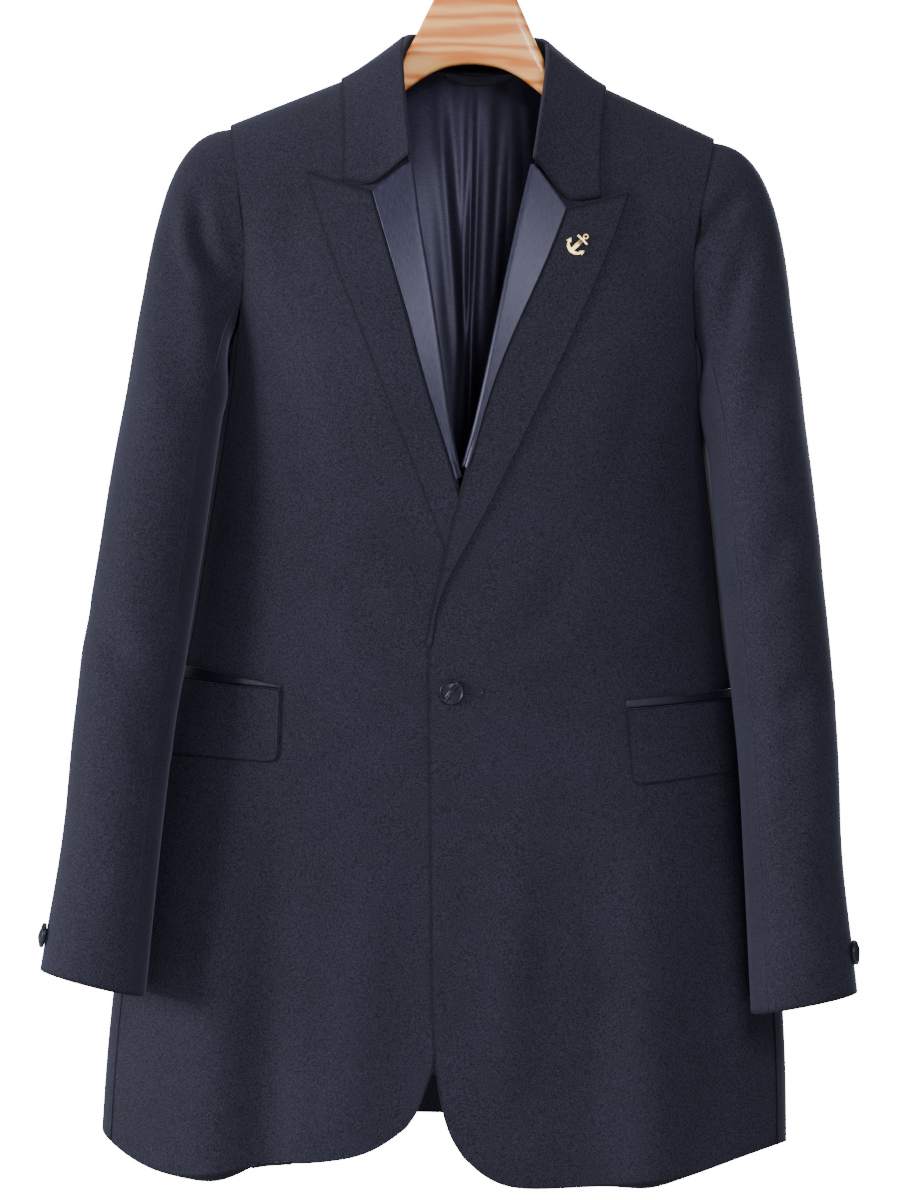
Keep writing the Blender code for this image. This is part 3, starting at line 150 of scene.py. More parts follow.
# speck is per metre, thread, bump, edgeWidth and nap are in mm, twill in degrees
# edge is the share of the colour left right at a sheet's edge, and the column after it how far in, in mm,
# that painted shade reaches
clothLooks = rows(
    "kind dark light speck rough specular tint sheen sheenTint thread twill bump edge edgeWidth nap",
    ("wool", (0.0036, 0.0035, 0.0068), (0.0262, 0.0253, 0.0440), (980, 980, 980), (0.70, 0.88), 0.20,
     (0.80, 0.84, 1.0), 0.14, (0.62, 0.68, 0.98), 0.55, 58, 0.015, 0.18, 1.7, 0.045),
    ("satin", (0.015, 0.0146, 0.028), (0.033, 0.0320, 0.061), (900, 160, 900), (0.30, 0.40), 0.42,
     (0.74, 0.75, 1.0), 0.06, (0.66, 0.70, 1.0), 0.22, 12, 0.02, 0.7, 1.0, 0.03),
    ("lining", (0.017, 0.0163, 0.031), (0.034, 0.0325, 0.062), (160, 900, 160), (0.36, 0.48), 0.55,
     (0.66, 0.66, 1.0), 0.05, (0.66, 0.70, 1.0), 0.25, 45, 0.02, 0.8, 1.0, 0.03),
    # the button look is a darker satin; on the pocket welts it is painted shade
    ("button", (0.004, 0.004, 0.008), (0.011, 0.011, 0.021), (900, 300, 900), (0.32, 0.42), 0.42,
     (0.75, 0.76, 1.0), 0.05, (0.66, 0.70, 1.0), 0.22, 35, 0.02, 1.0, 1.0, 0.03),
)
toneRange = (0.46, 0.71)    # the part of the mottling that spans dark to light


def clothMaterial(name, look):
    made, tree, shader = shaderTree(name)
    size = 1 / (look["thread"] * mm)
    lines = mapped(tree, (size, size, size), turn=look["twill"])
    weave = bands(tree, lines, {"Scale": 0.32, "Distortion": 0.6, "Detail": 1.0, "Detail Scale": 2.0})
    cross = noise(tree, 1.0, 2.0, 0.6, mapped(tree, (size * 0.9, size * 0.12, size)))
    slub = noise(tree, 1.0, 4.0, 0.65, mapped(tree, look["speck"], uv=look["speck"][0] != look["speck"][1]))
    wear = noise(tree, 9.0, 5.0, 0.6, mapped(tree, (1, 1, 1), uv=False))
    mixed = addNode(tree, "Math", {"operation": "MULTIPLY_ADD", 1: 0.16}, Value=wear)
    tree.links.new(slub, mixed.inputs[2])
    tone = ranged(tree, mixed.outputs[0], 0.0, 1.0, toneRange)
    # painted shade: the colour is darkened close to every edge and seam of a sheet, standing in for the
    # shadow in the crevices there
    edge = addNode(tree, "Attribute", {"attribute_name": "fromEdge"}).outputs["Fac"]
    edgeShade = ranged(tree, edge, look["edge"], 1.0, (0.3, look["edgeWidth"]))
    shadedColour = addNode(tree, "VectorMath", {"operation": "SCALE"}, Scale=edgeShade)
    tree.links.new(blended(tree, tone, look), shadedColour.inputs[0])
    tree.links.new(shadedColour.outputs[0], shader.inputs["Base Color"])
    tree.links.new(ranged(tree, wear, *look["rough"]), shader.inputs["Roughness"])
    threads = addNode(tree, "Math", {"operation": "ADD"}, Value=weave)
    tree.links.new(cross, threads.inputs[1])
    fine = bumped(tree, threads.outputs[0], 0.6, look["bump"])
    nap = bumped(tree, slub, 0.6, look["nap"], Normal=fine)
    rumple = noise(tree, 55.0, 3.0, 0.5, mapped(tree, (1, 1, 0.6), uv=False))
    tree.links.new(bumped(tree, rumple, 0.5, 0.35, Normal=nap), shader.inputs["Normal"])
    settle(shader, {"Specular IOR Level": look["specular"], "Specular Tint": (*look["tint"], 1)})
    settle(shader, {"Sheen Weight": look["sheen"], "Sheen Roughness": 0.4})
    settle(shader, {"Sheen Tint": (*look["sheenTint"], 1)})
    return made


def hardMaterial(name, look):
    made, tree, shader = shaderTree(name)
    pores = noise(tree, 1.0, 4.0, look["noise"], mapped(tree, look["grain"], uv=False))
    tone = pores
    if "bands" in look:
        tone = bands(tree, mapped(tree, look["stretch"], uv=False), look["bands"])
    tree.links.new(blended(tree, tone, look), shader.inputs["Base Color"])
    tree.links.new(ranged(tree, pores, *look["rough"]), shader.inputs["Roughness"])
    tree.links.new(bumped(tree, pores, *look["bump"]), shader.inputs["Normal"])
    settle(shader, look["shine"])
    return made


woodLook = {
    "dark": (0.72, 0.20, 0.035),
    "light": (1.0, 0.50, 0.16),
    "rough": (0.34, 0.46),
    "grain": (45, 900, 900),
    "noise": 0.7,
    "stretch": (0.16, 1, 1),
    "bands": {"bands_direction": "Z", "Scale": 26, "Distortion": 9, "Detail": 3, "Detail Scale": 1.6},
    "bump": (0.25, 0.05),
    "shine": {"Specular IOR Level": 0.25, "Coat Weight": 0.22, "Coat Roughness": 0.09},
}
metalLooks = rows(
    "kind name dark light rough grain",
    ("steel", "hookSteel", (0.62, 0.62, 0.64), (0.80, 0.80, 0.82), (0.16, 0.28), (300, 300, 300)),
    ("gold", "pinGold", (0.92, 0.66, 0.22), (1.0, 0.84, 0.42), (0.36, 0.48), (900, 900, 900)),
)
materials = {look["kind"]: clothMaterial(look["kind"] + "Cloth", look) for look in clothLooks}
materials["wood"] = hardMaterial("hangerWood", woodLook)
for look in metalLooks:
    metal = dict(look, noise=0.6, bump=(0.2, 0.04), shine={"Metallic": 1.0})
    materials[look["kind"]] = hardMaterial(look["name"], metal)
print("materials:", len(materials))


# Sheets: a grid is shaped, subdivided, its edges turned in, creased and then given its wall
def lengths(points, axis):
    steps = np.linalg.norm(np.diff(points, axis=axis), axis=2)
    start = np.zeros_like(np.take(steps, [0], axis=axis))
    return np.cumsum(np.concatenate([start, steps], axis=axis), axis=axis)


def withEdges(grid, near, sides):
    # one more row or column close to each turned edge, so that the edge stays crisp
    for axis, ends in ((1, sides[:2]), (0, sides[2:])):
        grid = np.moveaxis(grid, axis, 0)
        parts = [grid[:1]]
        if ends[0]:
            step = np.linalg.norm(grid[1] - grid[0], axis=1, keepdims=True)
            parts.append((grid[0] + (grid[1] - grid[0]) * np.minimum(near / step, 0.4))[None])
        parts.append(grid[1:-1])
        if ends[1]:
            step = np.linalg.norm(grid[-2] - grid[-1], axis=1, keepdims=True)
            parts.append((grid[-1] + (grid[-2] - grid[-1]) * np.minimum(near / step, 0.4))[None])
        parts.append(grid[-1:])
        grid = np.moveaxis(np.concatenate(parts), 0, axis)
    return grid


def numbers(mesh, what="co", size=3):
    values = np.zeros(len(mesh.vertices) * size)
    mesh.vertices.foreach_get(what, values)
    return values.reshape(-1, size)


def place(mesh, points):
    mesh.vertices.foreach_set("co", points.astype(np.float32).ravel())
    mesh.update()


def linked(name, mesh):
    made = bpy.data.objects.new(name, mesh)
    bpy.context.scene.collection.objects.link(made)
    return made


def applied(made):
    graph = bpy.context.evaluated_depsgraph_get()
    finished = bpy.data.meshes.new_from_object(made.evaluated_get(graph))
    finished.name = made.name
    old = made.data
    made.modifiers.clear()
    made.data = finished
    bpy.data.meshes.remove(old)
    return made


def meshed(work, name):
    mesh = bpy.data.meshes.new(name)
    work.to_mesh(mesh)
    work.free()
    return linked(name, mesh)


def subdivided(made, levels):
    smoothed = made.modifiers.new("smooth", "SUBSURF")
    smoothed.levels = smoothed.render_levels = levels
    smoothed.boundary_smooth = "PRESERVE_CORNERS"
    return applied(made)


def openSheet(name, grid, outward, levels=2, roll=0.9, sides=(1, 1, 1, 1)):
    # sides: whether the first and last column and the first and last row are turned in
    grid = withEdges(np.asarray(grid, float), 2.4 if levels > 2 else 1.3, sides)
    high, wide = grid.shape[:2]
    work = bmesh.new()
    bmesh.ops.create_grid(work, x_segments=wide - 1, y_segments=high - 1, size=0.5)
    work.verts.ensure_lookup_table()
    across, down = lengths(grid, 1), lengths(grid, 0)
    far = np.full(grid.shape[:2], 1e3)
    for k, (run, axis) in enumerate(((across, 1), (across, 1), (down, 0), (down, 0))):
        if sides[k]:
            total = np.take(run, [-1], axis=axis)
            far = np.minimum(far, run if k % 2 == 0 else total - run)
    nearEdge = work.verts.layers.float.new("fromEdge")
    spot = {}
    for vert in work.verts:
        j = round((vert.co.x + 0.5) * (wide - 1))
        i = round((vert.co.y + 0.5) * (high - 1))
        vert.co = Vector(grid[i, j]) * mm
        vert[nearEdge] = far[i, j]
        spot[vert.index] = (i, j)
    uv = work.loops.layers.uv.new("cut")
    for face in work.faces:
        for loop in face.loops:
            i, j = spot[loop.vert.index]
            loop[uv].uv = (across[i, j] * mm, -down[i, j] * mm)
    work.normal_update()
    facing = outward(np.array([v.co for v in work.verts]) / mm)
    if sum(v.normal.dot(Vector(f)) for v, f in zip(work.verts, facing)) < 0:
        bmesh.ops.reverse_faces(work, faces=work.faces)
    made = subdivided(meshed(work, name), levels)
    if roll:
        mesh = made.data
        near = np.zeros(len(mesh.vertices))
        mesh.attributes["fromEdge"].data.foreach_get("value", near)
        inside = np.clip(roll - near, 0, roll)
        drop = roll - np.sqrt(np.maximum(roll * roll - inside * inside, 0))
        place(mesh, numbers(mesh) - numbers(mesh, "normal") * (drop * mm)[:, None])
    return made


def crease(width, depth, *path, rim=0.35, front=True):
    return {"width": width, "depth": depth, "path": path, "rim": rim, "front": front}


def creased(made, creases):
    # each crease follows points given as x and z, with a trough or ridge that fades at both ends
    mesh = made.data
    points, normals = numbers(mesh) / mm, numbers(mesh, "normal")
    move = np.zeros(len(points))
    for row in creases:
        path = np.array(row["path"], float)
        best = np.full(len(points), 1e9)
        place01 = np.zeros(len(points))
        steps = np.linalg.norm(np.diff(path, axis=0), axis=1)
        before = np.concatenate([[0], np.cumsum(steps)])
        for k in range(len(path) - 1):
            along = path[k + 1] - path[k]
            rel = points[:, (0, 2)] - path[k]
            t = np.clip(rel @ along / steps[k] ** 2, 0, 1)
            off = np.linalg.norm(rel - t[:, None] * along, axis=1)
            closer = off < best
            best = np.where(closer, off, best)
            place01 = np.where(closer, (before[k] + t * steps[k]) / before[-1], place01)
        fade = np.sin(np.pi * np.clip(place01, 0, 1)) ** 0.8
        shape = np.exp(-((best / row["width"]) ** 2))
        rim = row["rim"] * np.exp(-(((best - 1.9 * row["width"]) / row["width"]) ** 2))
        facing = normals[:, 1] * (-1 if row["front"] else 1)
        # a crease fades round the side, so that both sides of a seam move alike
        front = np.clip((facing + 0.45) / 0.5, 0, 1)
        move += row["depth"] * fade * (shape - rim) * front
    place(mesh, (points + normals * move[:, None]) * mm)


def skinThrough(name, rings, levels, inset=0.0, closed=False):
    # a closed skin through rings of points, joined end to end or with both ends filled
    wide, steps = len(rings[0]), len(rings) - (0 if closed else 1)
    work = bmesh.new()
    bmesh.ops.create_grid(work, x_segments=wide, y_segments=steps, size=0.5)
    for vert in work.verts:
        k = round((vert.co.x + 0.5) * wide) % wide
        i = round((vert.co.y + 0.5) * steps) % len(rings)
        vert.co = Vector(rings[i][k]) * mm
    bmesh.ops.remove_doubles(work, verts=work.verts, dist=1e-7)
    ends = bmesh.ops.holes_fill(work, edges=[e for e in work.edges if e.is_boundary], sides=0)["faces"]
    if inset and ends:
        bmesh.ops.inset_region(work, faces=ends, thickness=inset * mm, use_even_offset=True)
    bmesh.ops.recalc_face_normals(work, faces=work.faces)
    made = subdivided(meshed(work, name), levels)
    made.data.shade_smooth()
    return made


def walled(made, thick):
    wall = made.modifiers.new("wall", "SOLIDIFY")
    wall.thickness = thick * mm
    wall.offset = -1
    applied(made)
    made.data.shade_smooth()
    return made


def finished(made, kind, *nodes, look=None):
    # the same for every piece: its material, the one body and its slot
    made.data.materials.clear()
    made.data.materials.append(materials[look or kind])
    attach(made, "root")
    if nodes:
        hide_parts(*nodes)


def surfaceOf(objects, inset=0.0):
    points, faces = [], []
    for made in objects:
        base = len(points)
        points += [v.co / mm - v.normal * inset for v in made.data.vertices]
        faces += [[base + i for i in polygon.vertices] for polygon in made.data.polygons]
    return BVHTree.FromPolygons(points, faces)


def lifted(surface, point, gap, toward=(0, -1, 0)):
    toward = Vector(toward).normalized()
    start = Vector(point) + toward * 60
    hit, normal, _, _ = surface.ray_cast(start, -toward, 200)
    if hit is None:
        hit, normal, _, _ = surface.find_nearest(Vector(point))
    if normal.dot(toward) < 0:
        normal = -normal
    return np.array(hit + normal * gap)


def onFront(surface, x, z, gap):
    return lifted(surface, (x, -80, z), gap)    # cast from well in front of the cloth


def pushedOut(surface, point, gap, exact=False):
    near, normal, _, _ = surface.find_nearest(Vector(point))
    fromMiddleLine = Vector((near.x * 0.4, near.y, 40.0 if near.z > -150 else 0.0))
    if normal.dot(fromMiddleLine) < 0:
        normal = -normal
    height = (Vector(point) - near).dot(normal)
    if exact or height < gap:
        return np.array(near + normal * gap)
    return np.array(point, float)


def runOf(line):
    steps = np.linalg.norm(np.diff(line, axis=0), axis=1)
    return np.concatenate([[0], np.cumsum(steps)])


def pointAt(line, run, wanted):
    return np.stack([np.interp(wanted, run, line[:, k]) for k in range(3)], axis=-1)


def resample(line, count, trimStart=0.0, trimEnd=0.0):
    line = np.asarray(line, float)
    run = runOf(line)
    return pointAt(line, run, np.linspace(trimStart, run[-1] - trimEnd, count))


def unit(vector):
    return vector / np.linalg.norm(vector)


def fromMiddle(points):
    return points * (0.4, 1, 0)


def forward(points):
    return points * 0 + (0, -1, 0)


# Body: rings below the arm, sections above it, and the front edges and hems
bodyCut = {
    "seamShare": 0.966,
    "overlap": 1.25,
    "breakDepth": 1.3,
    "rollWidth": 2.4,
    "neckX": 67,
    "neckZ": -122,
    "neckBackY": 64,
    "neckBackZ": -118,
    "sideBase": -972,
    "shoulderX": 193.5,    # the outer end of the shoulder seam
    "shoulderZ": -176,
    "underArm": -338,
    "levels": (-338, -385, -430, -480, -530, -575, -620, -680, -745, -810, -868),
    "rings": rows(
        "z half front back power mid",
        (-338, 187.0, 86, 78, 3.1, 0), (-385, 190.3, 87, 77, 2.75, 6), (-430, 196.4, 86, 74, 2.5, 12),
        (-480, 204.2, 85, 70, 2.45, 15), (-530, 211.0, 84, 68, 2.4, 16), (-580, 217.0, 84, 67, 2.35, 15),
        (-620, 225.0, 83, 67, 2.3, 12), (-680, 241.0, 81, 67, 2.3, 6), (-745, 253.0, 79, 67, 2.3, 0),
        (-810, 262.0, 78, 66, 2.3, 0), (-875, 268.0, 77, 64, 2.3, 0), (-925, 271.5, 76, 63, 2.3, 0),
        (-1010, 274.0, 76, 62, 2.3, 0),
    ),
    "upperFront": rows(
        "zIn zOut depth round",
        (-122, -176, 0.0, 0.0), (-125, -179, 9.5, 0.0), (-130, -184, 18.5, 0.0), (-139, -193, 28.0, 0.0),
        (-153, -207, 40.0, 0.0), (-175, -228, 51.0, 0.0), (-205, -252, 64.0, 0.0), (-245, -283, 75.0, 0.2),
        (-292, -312, 82.0, 0.5),
    ),
    "upperBack": rows(
        "dropIn zOut",
        (0, -176), (3, -179), (8, -184), (17, -193), (31, -207), (52, -228), (82, -252), (122, -283),
        (172, -312),
    ),
    "armhole": rows(
        "z x front back",
        (-176, 193.5, 0, 0), (-179, 193.0, 9, 9), (-184, 192.0, 17, 18), (-193, 190.5, 25, 28),
        (-207, 188.5, 33, 38), (-228, 184.0, 41, 47), (-252, 179.5, 46, 52), (-283, 176.5, 48, 53),
        (-312, 178.0, 47, 50), (-338, 180.6, 41.1, 37.3), (-352, 186.0, 22, 20), (-357, 188.0, 0, 0),
    ),
    "edge": {
        1: rows(
            "z x",
            (-122, 67), (-130, 65), (-139, 62.5), (-153, 59), (-175, 54.5), (-205, 48), (-230, 42),
            (-268, 34.5), (-309, 27), (-354, 19), (-412, 8), (-450, 0), (-504, -10.5), (-556, -20.5),
            (-590, -24), (-628, -22.5), (-740, -18), (-847, -14), (-911, -10), (-938, -5), (-957, -1),
            (-971, 5), (-985, 15),
        ),
        -1: rows(
            "z x",
            (-122, 67), (-130, 65), (-139, 62.5), (-153, 59), (-175, 54.5), (-205, 48), (-230, 43.5),
            (-267, 37.5), (-302, 30), (-342, 23), (-383, 16), (-419, 10), (-462, 2), (-504, -6),
            (-556, -15), (-590, -18), (-740, -14), (-847, -3), (-905, 7), (-935, 16), (-953, 22),
            (-964, 30),
        ),
    },
    "hem": {
        1: rows(
            "x z",
            (15, -985), (30, -999), (46, -1007), (60, -1009), (82, -1008.5), (116, -1006), (148, -1002.5),
            (187, -998), (215, -990), (240, -981), (262, -975), (274, -972),
        ),
        -1: rows(
            "x z",
            (30, -964), (43, -974.5), (57, -983.5), (73, -988.5), (92, -992), (117, -995), (138, -997.5),
            (162, -1002), (184, -1006), (212, -1008), (235, -1003), (250, -996), (262, -988), (274, -981),
        ),
    },
    "hemBack": rows("x z", (0, -966), (120, -967), (220, -971), (274, -976)),
    "frontFolds": rows(
        "side x width depth zTop zLow",
        (-1, 208, 26, 4.5, -690, -900), (-1, 140, 24, -5.0, -720, -880), (-1, 72, 30, 2.5, -760, -920),
        (1, 170, 30, 3.5, -740, -920), (1, 222, 16, -3.5, -720, -880), (1, 96, 30, -2.0, -780, -930),
    ),
    "backFolds": rows(
        "side x width depth zTop zLow",
        (-1, 150, 34, 5.0, -600, -860), (-1, 70, 26, -4.0, -640, -880), (1, 130, 30, 4.5, -620, -880),
        (1, 205, 22, -4.0, -640, -860), (1, 50, 26, -3.0, -660, -900),
    ),
    "wall": 1.4,
}


def body(column, z):
    return readAt(bodyCut["rings"], "z", column, z)


def foldShift(table, side, x, z):
    total = 0.0
    for row in table:
        if row["side"] == side:
            reach = smooth(-row["zTop"], -row["zLow"], -z) * smooth(0, 34, x)
            total += row["depth"] * reach * math.exp(-(((x - row["x"]) / row["width"]) ** 2))
    return total


def overlapShift(side, x, z):
    nearMiddle = 1 - smooth(24, 84, x)
    nearBreak = smooth(400, 450, -z) * (1 - smooth(585, 640, -z))
    return side * nearMiddle * (bodyCut["overlap"] * smooth(200, 300, -z) + bodyCut["breakDepth"] * nearBreak)


def edgeX(edge, z):
    wrapped = smooth(190, 215, -z) * (1 - smooth(415, 470, -z))
    return readAt(edge, "z", "x", z) + bodyCut["rollWidth"] * wrapped


def frontPoint(side, x, z):
    half, power = body("half", z), body("power", z)
    share = min(abs(x) / half, 1.0)
    mid = body("mid", z)
    y = mid - (body("front", z) + mid) * (1 - share**power) ** (1 / power)
    y -= overlapShift(side, x, z) + foldShift(bodyCut["frontFolds"], side, x, z)
    return np.array([side * x, y, z])


def backPoint(side, x, z):
    half, power = body("half", z), body("power", z)
    share = min(abs(x) / half, 1.0)
    mid = body("mid", z)
    y = mid + (body("back", z) - mid) * (1 - share**power) ** (1 / power)
    return np.array([side * x, y + foldShift(bodyCut["backFolds"], side, x, z), z])


def upperFrontRow(side, row, edge):
    xIn = edgeX(edge, row["zIn"])
    xOut = readAt(bodyCut["armhole"], "z", "x", row["zOut"])
    yOut = readAt(bodyCut["armhole"], "z", "front", row["zOut"])
    line = []
    for t in np.linspace(0, 1, 50):
        x = xIn + (xOut - xIn) * t
        share = x / xOut
        soft = 1 - share**2.4
        full = (1 - share**2.8) ** (1 / 2.8)
        bulge = soft + (full - soft) * row["round"]
        y = -(yOut + (row["depth"] - yOut) * bulge)
        z = row["zIn"] + (row["zOut"] - row["zIn"]) * t
        line.append((side * x, y - overlapShift(side, x, z), z))
    return line


def lowerFrontRow(side, z, edge, hem, q):
    corner = hem[0]["x"]
    xIn = edgeX(edge, z)
    half = body("half", z)
    start = math.asin(xIn / half)
    line = []
    for t in np.linspace(0, 1, 60):
        x = half * math.sin(start + (math.asin(bodyCut["seamShare"]) - start) * t)
        drop = readAt(hem, "x", "z", max(x, corner)) - hem[0]["z"]
        level = z + q * drop
        x += x * (body("half", level) / half - 1) * t
        line.append(frontPoint(side, x, level))
    return line


def frontGrid(side, edge, hem, columns, trimSide=halfGap):
    grid = [resample(upperFrontRow(side, row, edge), columns) for row in bodyCut["upperFront"]]
    for z in bodyCut["levels"]:
        grid.append(resample(lowerFrontRow(side, z, edge, hem, 0), columns, 0, trimSide))
    last = hem[0]["z"]
    for q in (0.25, 0.5, 0.72, 0.88, 1.0):
        z = bodyCut["levels"][-1] + (last - bodyCut["levels"][-1]) * q
        grid.append(resample(lowerFrontRow(side, z, edge, hem, q), columns, 0, trimSide))
    return np.array(grid)


def sideRow(side, z, frontHem, q):
    half = body("half", z)
    line = []
    seamAngle = math.asin(bodyCut["seamShare"])
    for angle in np.linspace(seamAngle, math.pi - seamAngle, 50):
        x = half * math.sin(angle)
        toward = (angle - seamAngle) / (math.pi - 2 * seamAngle)
        ends = (readAt(frontHem, "x", "z", x), readAt(bodyCut["hemBack"], "x", "z", x))
        level = z + q * (ends[0] + (ends[1] - ends[0]) * smooth(0, 1, toward) - bodyCut["sideBase"])
        x = body("half", level) * math.sin(angle)
        make = frontPoint if angle < math.pi / 2 else backPoint
        line.append(make(side, x, level))
    return line


def armholeBottom(side):
    line = []
    ends, lowest = bodyCut["armhole"][-3], bodyCut["armhole"][-1]
    for y in np.linspace(-ends["front"], ends["back"], 50):
        low = 1 - (abs(y) / (ends["front"] if y < 0 else ends["back"])) ** 2.2
        x = ends["x"] + (lowest["x"] - ends["x"]) * low
        line.append((side * x, y, bodyCut["underArm"] + (lowest["z"] - bodyCut["underArm"]) * low))
    return line


def sideGrid(side, frontHem, columns):
    grid = [resample(armholeBottom(side), columns, halfGap, halfGap)]
    for z in bodyCut["levels"][1:]:
        grid.append(resample(sideRow(side, z, frontHem, 0), columns, halfGap, halfGap))
    for q in (0.5, 1.0):
        z = bodyCut["levels"][-1] + (bodyCut["sideBase"] - bodyCut["levels"][-1]) * q
        grid.append(resample(sideRow(side, z, frontHem, q), columns, halfGap, halfGap))
    return np.array(grid)


def neckBack(x):
    if x < bodyCut["neckX"]:
        share = (x / bodyCut["neckX"]) ** 2.2
        drop = (bodyCut["neckZ"] - bodyCut["neckBackZ"]) * x / bodyCut["neckX"]
        return bodyCut["neckBackY"] * (1 - share) ** (1 / 2.2), bodyCut["neckBackZ"] + drop
    along = (x - bodyCut["neckX"]) / (bodyCut["shoulderX"] - bodyCut["neckX"])
    return 0.0, bodyCut["neckZ"] + (bodyCut["shoulderZ"] - bodyCut["neckZ"]) * along


def upperBackAt(x, drop):
    seamY, seamZ = neckBack(x)
    deepest = 79 - 27 * (x / 180) ** 2.2
    raised = 66 * max(1 - (x / 85) ** 2, 0) ** 2

    def rise(depth):
        return math.sqrt(max(1 - (1 - min(depth / 160, 1)) ** 2, 0))

    nearSeam = seamY if x < bodyCut["neckX"] else deepest * rise(drop)
    shared = smooth(0, 20, drop)
    return nearSeam * (1 - shared) + deepest * rise(drop + raised) * shared, seamZ - drop


def upperBackPoint(side, row, x, lower=0.0):
    xOut = readAt(bodyCut["armhole"], "z", "x", row["zOut"])
    yOut = readAt(bodyCut["armhole"], "z", "back", row["zOut"])
    dropOut = neckBack(xOut)[1] - row["zOut"]
    fix = yOut - upperBackAt(xOut, dropOut)[0]
    y, z = upperBackAt(x, row["dropIn"] + (dropOut - row["dropIn"]) * x / xOut + lower)
    return np.array([side * x, y + fix * (x / xOut) ** 4, z])


def upperBackRow(side, row):
    xOut = readAt(bodyCut["armhole"], "z", "x", row["zOut"])
    xs = [xOut * t for t in np.linspace(0, 1, 60)]
    if row["dropIn"] == 0:
        xs = [bodyCut["neckX"] * math.sin(a) for a in np.linspace(0, math.pi / 2, 40)]
        xs += [bodyCut["neckX"] + (xOut - bodyCut["neckX"]) * t for t in np.linspace(0.02, 1, 40)]
    return [upperBackPoint(side, row, x) for x in xs]


def lowerBackRow(side, z, q):
    half = body("half", z)
    line = []
    for t in np.linspace(0, 1, 60):
        x = half * math.sin(math.asin(bodyCut["seamShare"]) * t)
        level = z + q * (readAt(bodyCut["hemBack"], "x", "z", x) - bodyCut["hemBack"][0]["z"])
        x += x * (body("half", level) / half - 1) * t
        line.append(backPoint(side, x, level))
    return line


def backGrid(side, columns):
    grid = [resample(upperBackRow(side, row), columns, halfGap) for row in bodyCut["upperBack"]]
    for z in bodyCut["levels"]:
        grid.append(resample(lowerBackRow(side, z, 0), columns, halfGap, halfGap))
    for q in (0.5, 1.0):
        z = bodyCut["levels"][-1] + (bodyCut["hemBack"][0]["z"] - bodyCut["levels"][-1]) * q
        grid.append(resample(lowerBackRow(side, z, q), columns, halfGap, halfGap))
    return np.array(grid)


# Main creases: negative is a trough, positive a ridge
bodyCreases = {
    "front_left": [
        crease(9, -1.1, (16, -628), (58, -660), (110, -682)),
        crease(13, -1.5, (26, -596), (66, -562), (100, -500)),
        crease(8, -0.7, (30, -610), (84, -618), (128, -604)),
        crease(15, -1.5, (146, -350), (134, -410), (112, -480)),
        crease(20, 2.6, (60, -700), (52, -800), (44, -960)),
        crease(24, 5.5, (150, -700), (160, -850), (158, -1160), rim=0),
        crease(14, -1.3, (112, -740), (120, -850), (114, -980)),
        crease(13, 1.5, (226, -760), (232, -860), (230, -980)),
        crease(12, -1.0, (130, -214), (140, -250), (136, -300)),
    ],
    "front_right": [
        crease(12, -1.4, (-26, -604), (-66, -572), (-88, -520)),
        crease(10, -1.1, (-30, -640), (-80, -668), (-128, -704)),
        crease(9, -0.8, (-34, -700), (-78, -716), (-116, -760)),
        crease(14, -1.4, (-144, -350), (-132, -410), (-110, -480)),
        crease(24, 6.5, (-168, -690), (-180, -850), (-178, -1180), rim=0),
        crease(16, -4.2, (-132, -700), (-140, -850), (-138, -1130), rim=0),
        crease(20, 2.4, (-60, -740), (-66, -850), (-76, -980)),
        crease(12, -1.2, (-130, -226), (-140, -266), (-132, -310)),
    ],
    "back_left": [
        crease(16, -1.8, (30, -300), (80, -360), (140, -400), front=False),
        crease(13, -1.7, (28, -560), (80, -590), (150, -600), front=False),
        crease(18, 2.2, (90, -640), (96, -760), (88, -900), front=False),
        crease(12, -1.3, (152, -240), (140, -300), (148, -350), front=False),
    ],
    "back_right": [
        crease(15, -1.9, (-36, -320), (-92, -372), (-146, -398), front=False),
        crease(12, -1.6, (-30, -580), (-90, -602), (-156, -590), front=False),
        crease(17, 2.1, (-104, -660), (-98, -790), (-108, -910), front=False),
        crease(13, -1.2, (-150, -250), (-138, -310), (-146, -352), front=False),
    ],
}

panels = {}
for side, word in words.items():
    grid = frontGrid(side, bodyCut["edge"][side], bodyCut["hem"][side], 14)
    grid[0, :, 1] -= halfGap
    panels["front", side] = openSheet("front" + word.capitalize(), grid, fromMiddle, levels=3)
    grid = sideGrid(side, bodyCut["hem"][side], 8)
    panels["side", side] = openSheet("side" + word.capitalize(), grid, fromMiddle, levels=3)
    grid = backGrid(side, 12)
    grid[0, :, 1] += halfGap
    panels["back", side] = openSheet("back" + word.capitalize(), grid, fromMiddle, levels=3)
    for part in ("front", "back"):
        creased(panels[part, side], bodyCreases[part + "_" + word])
print("body panels:", len(panels))

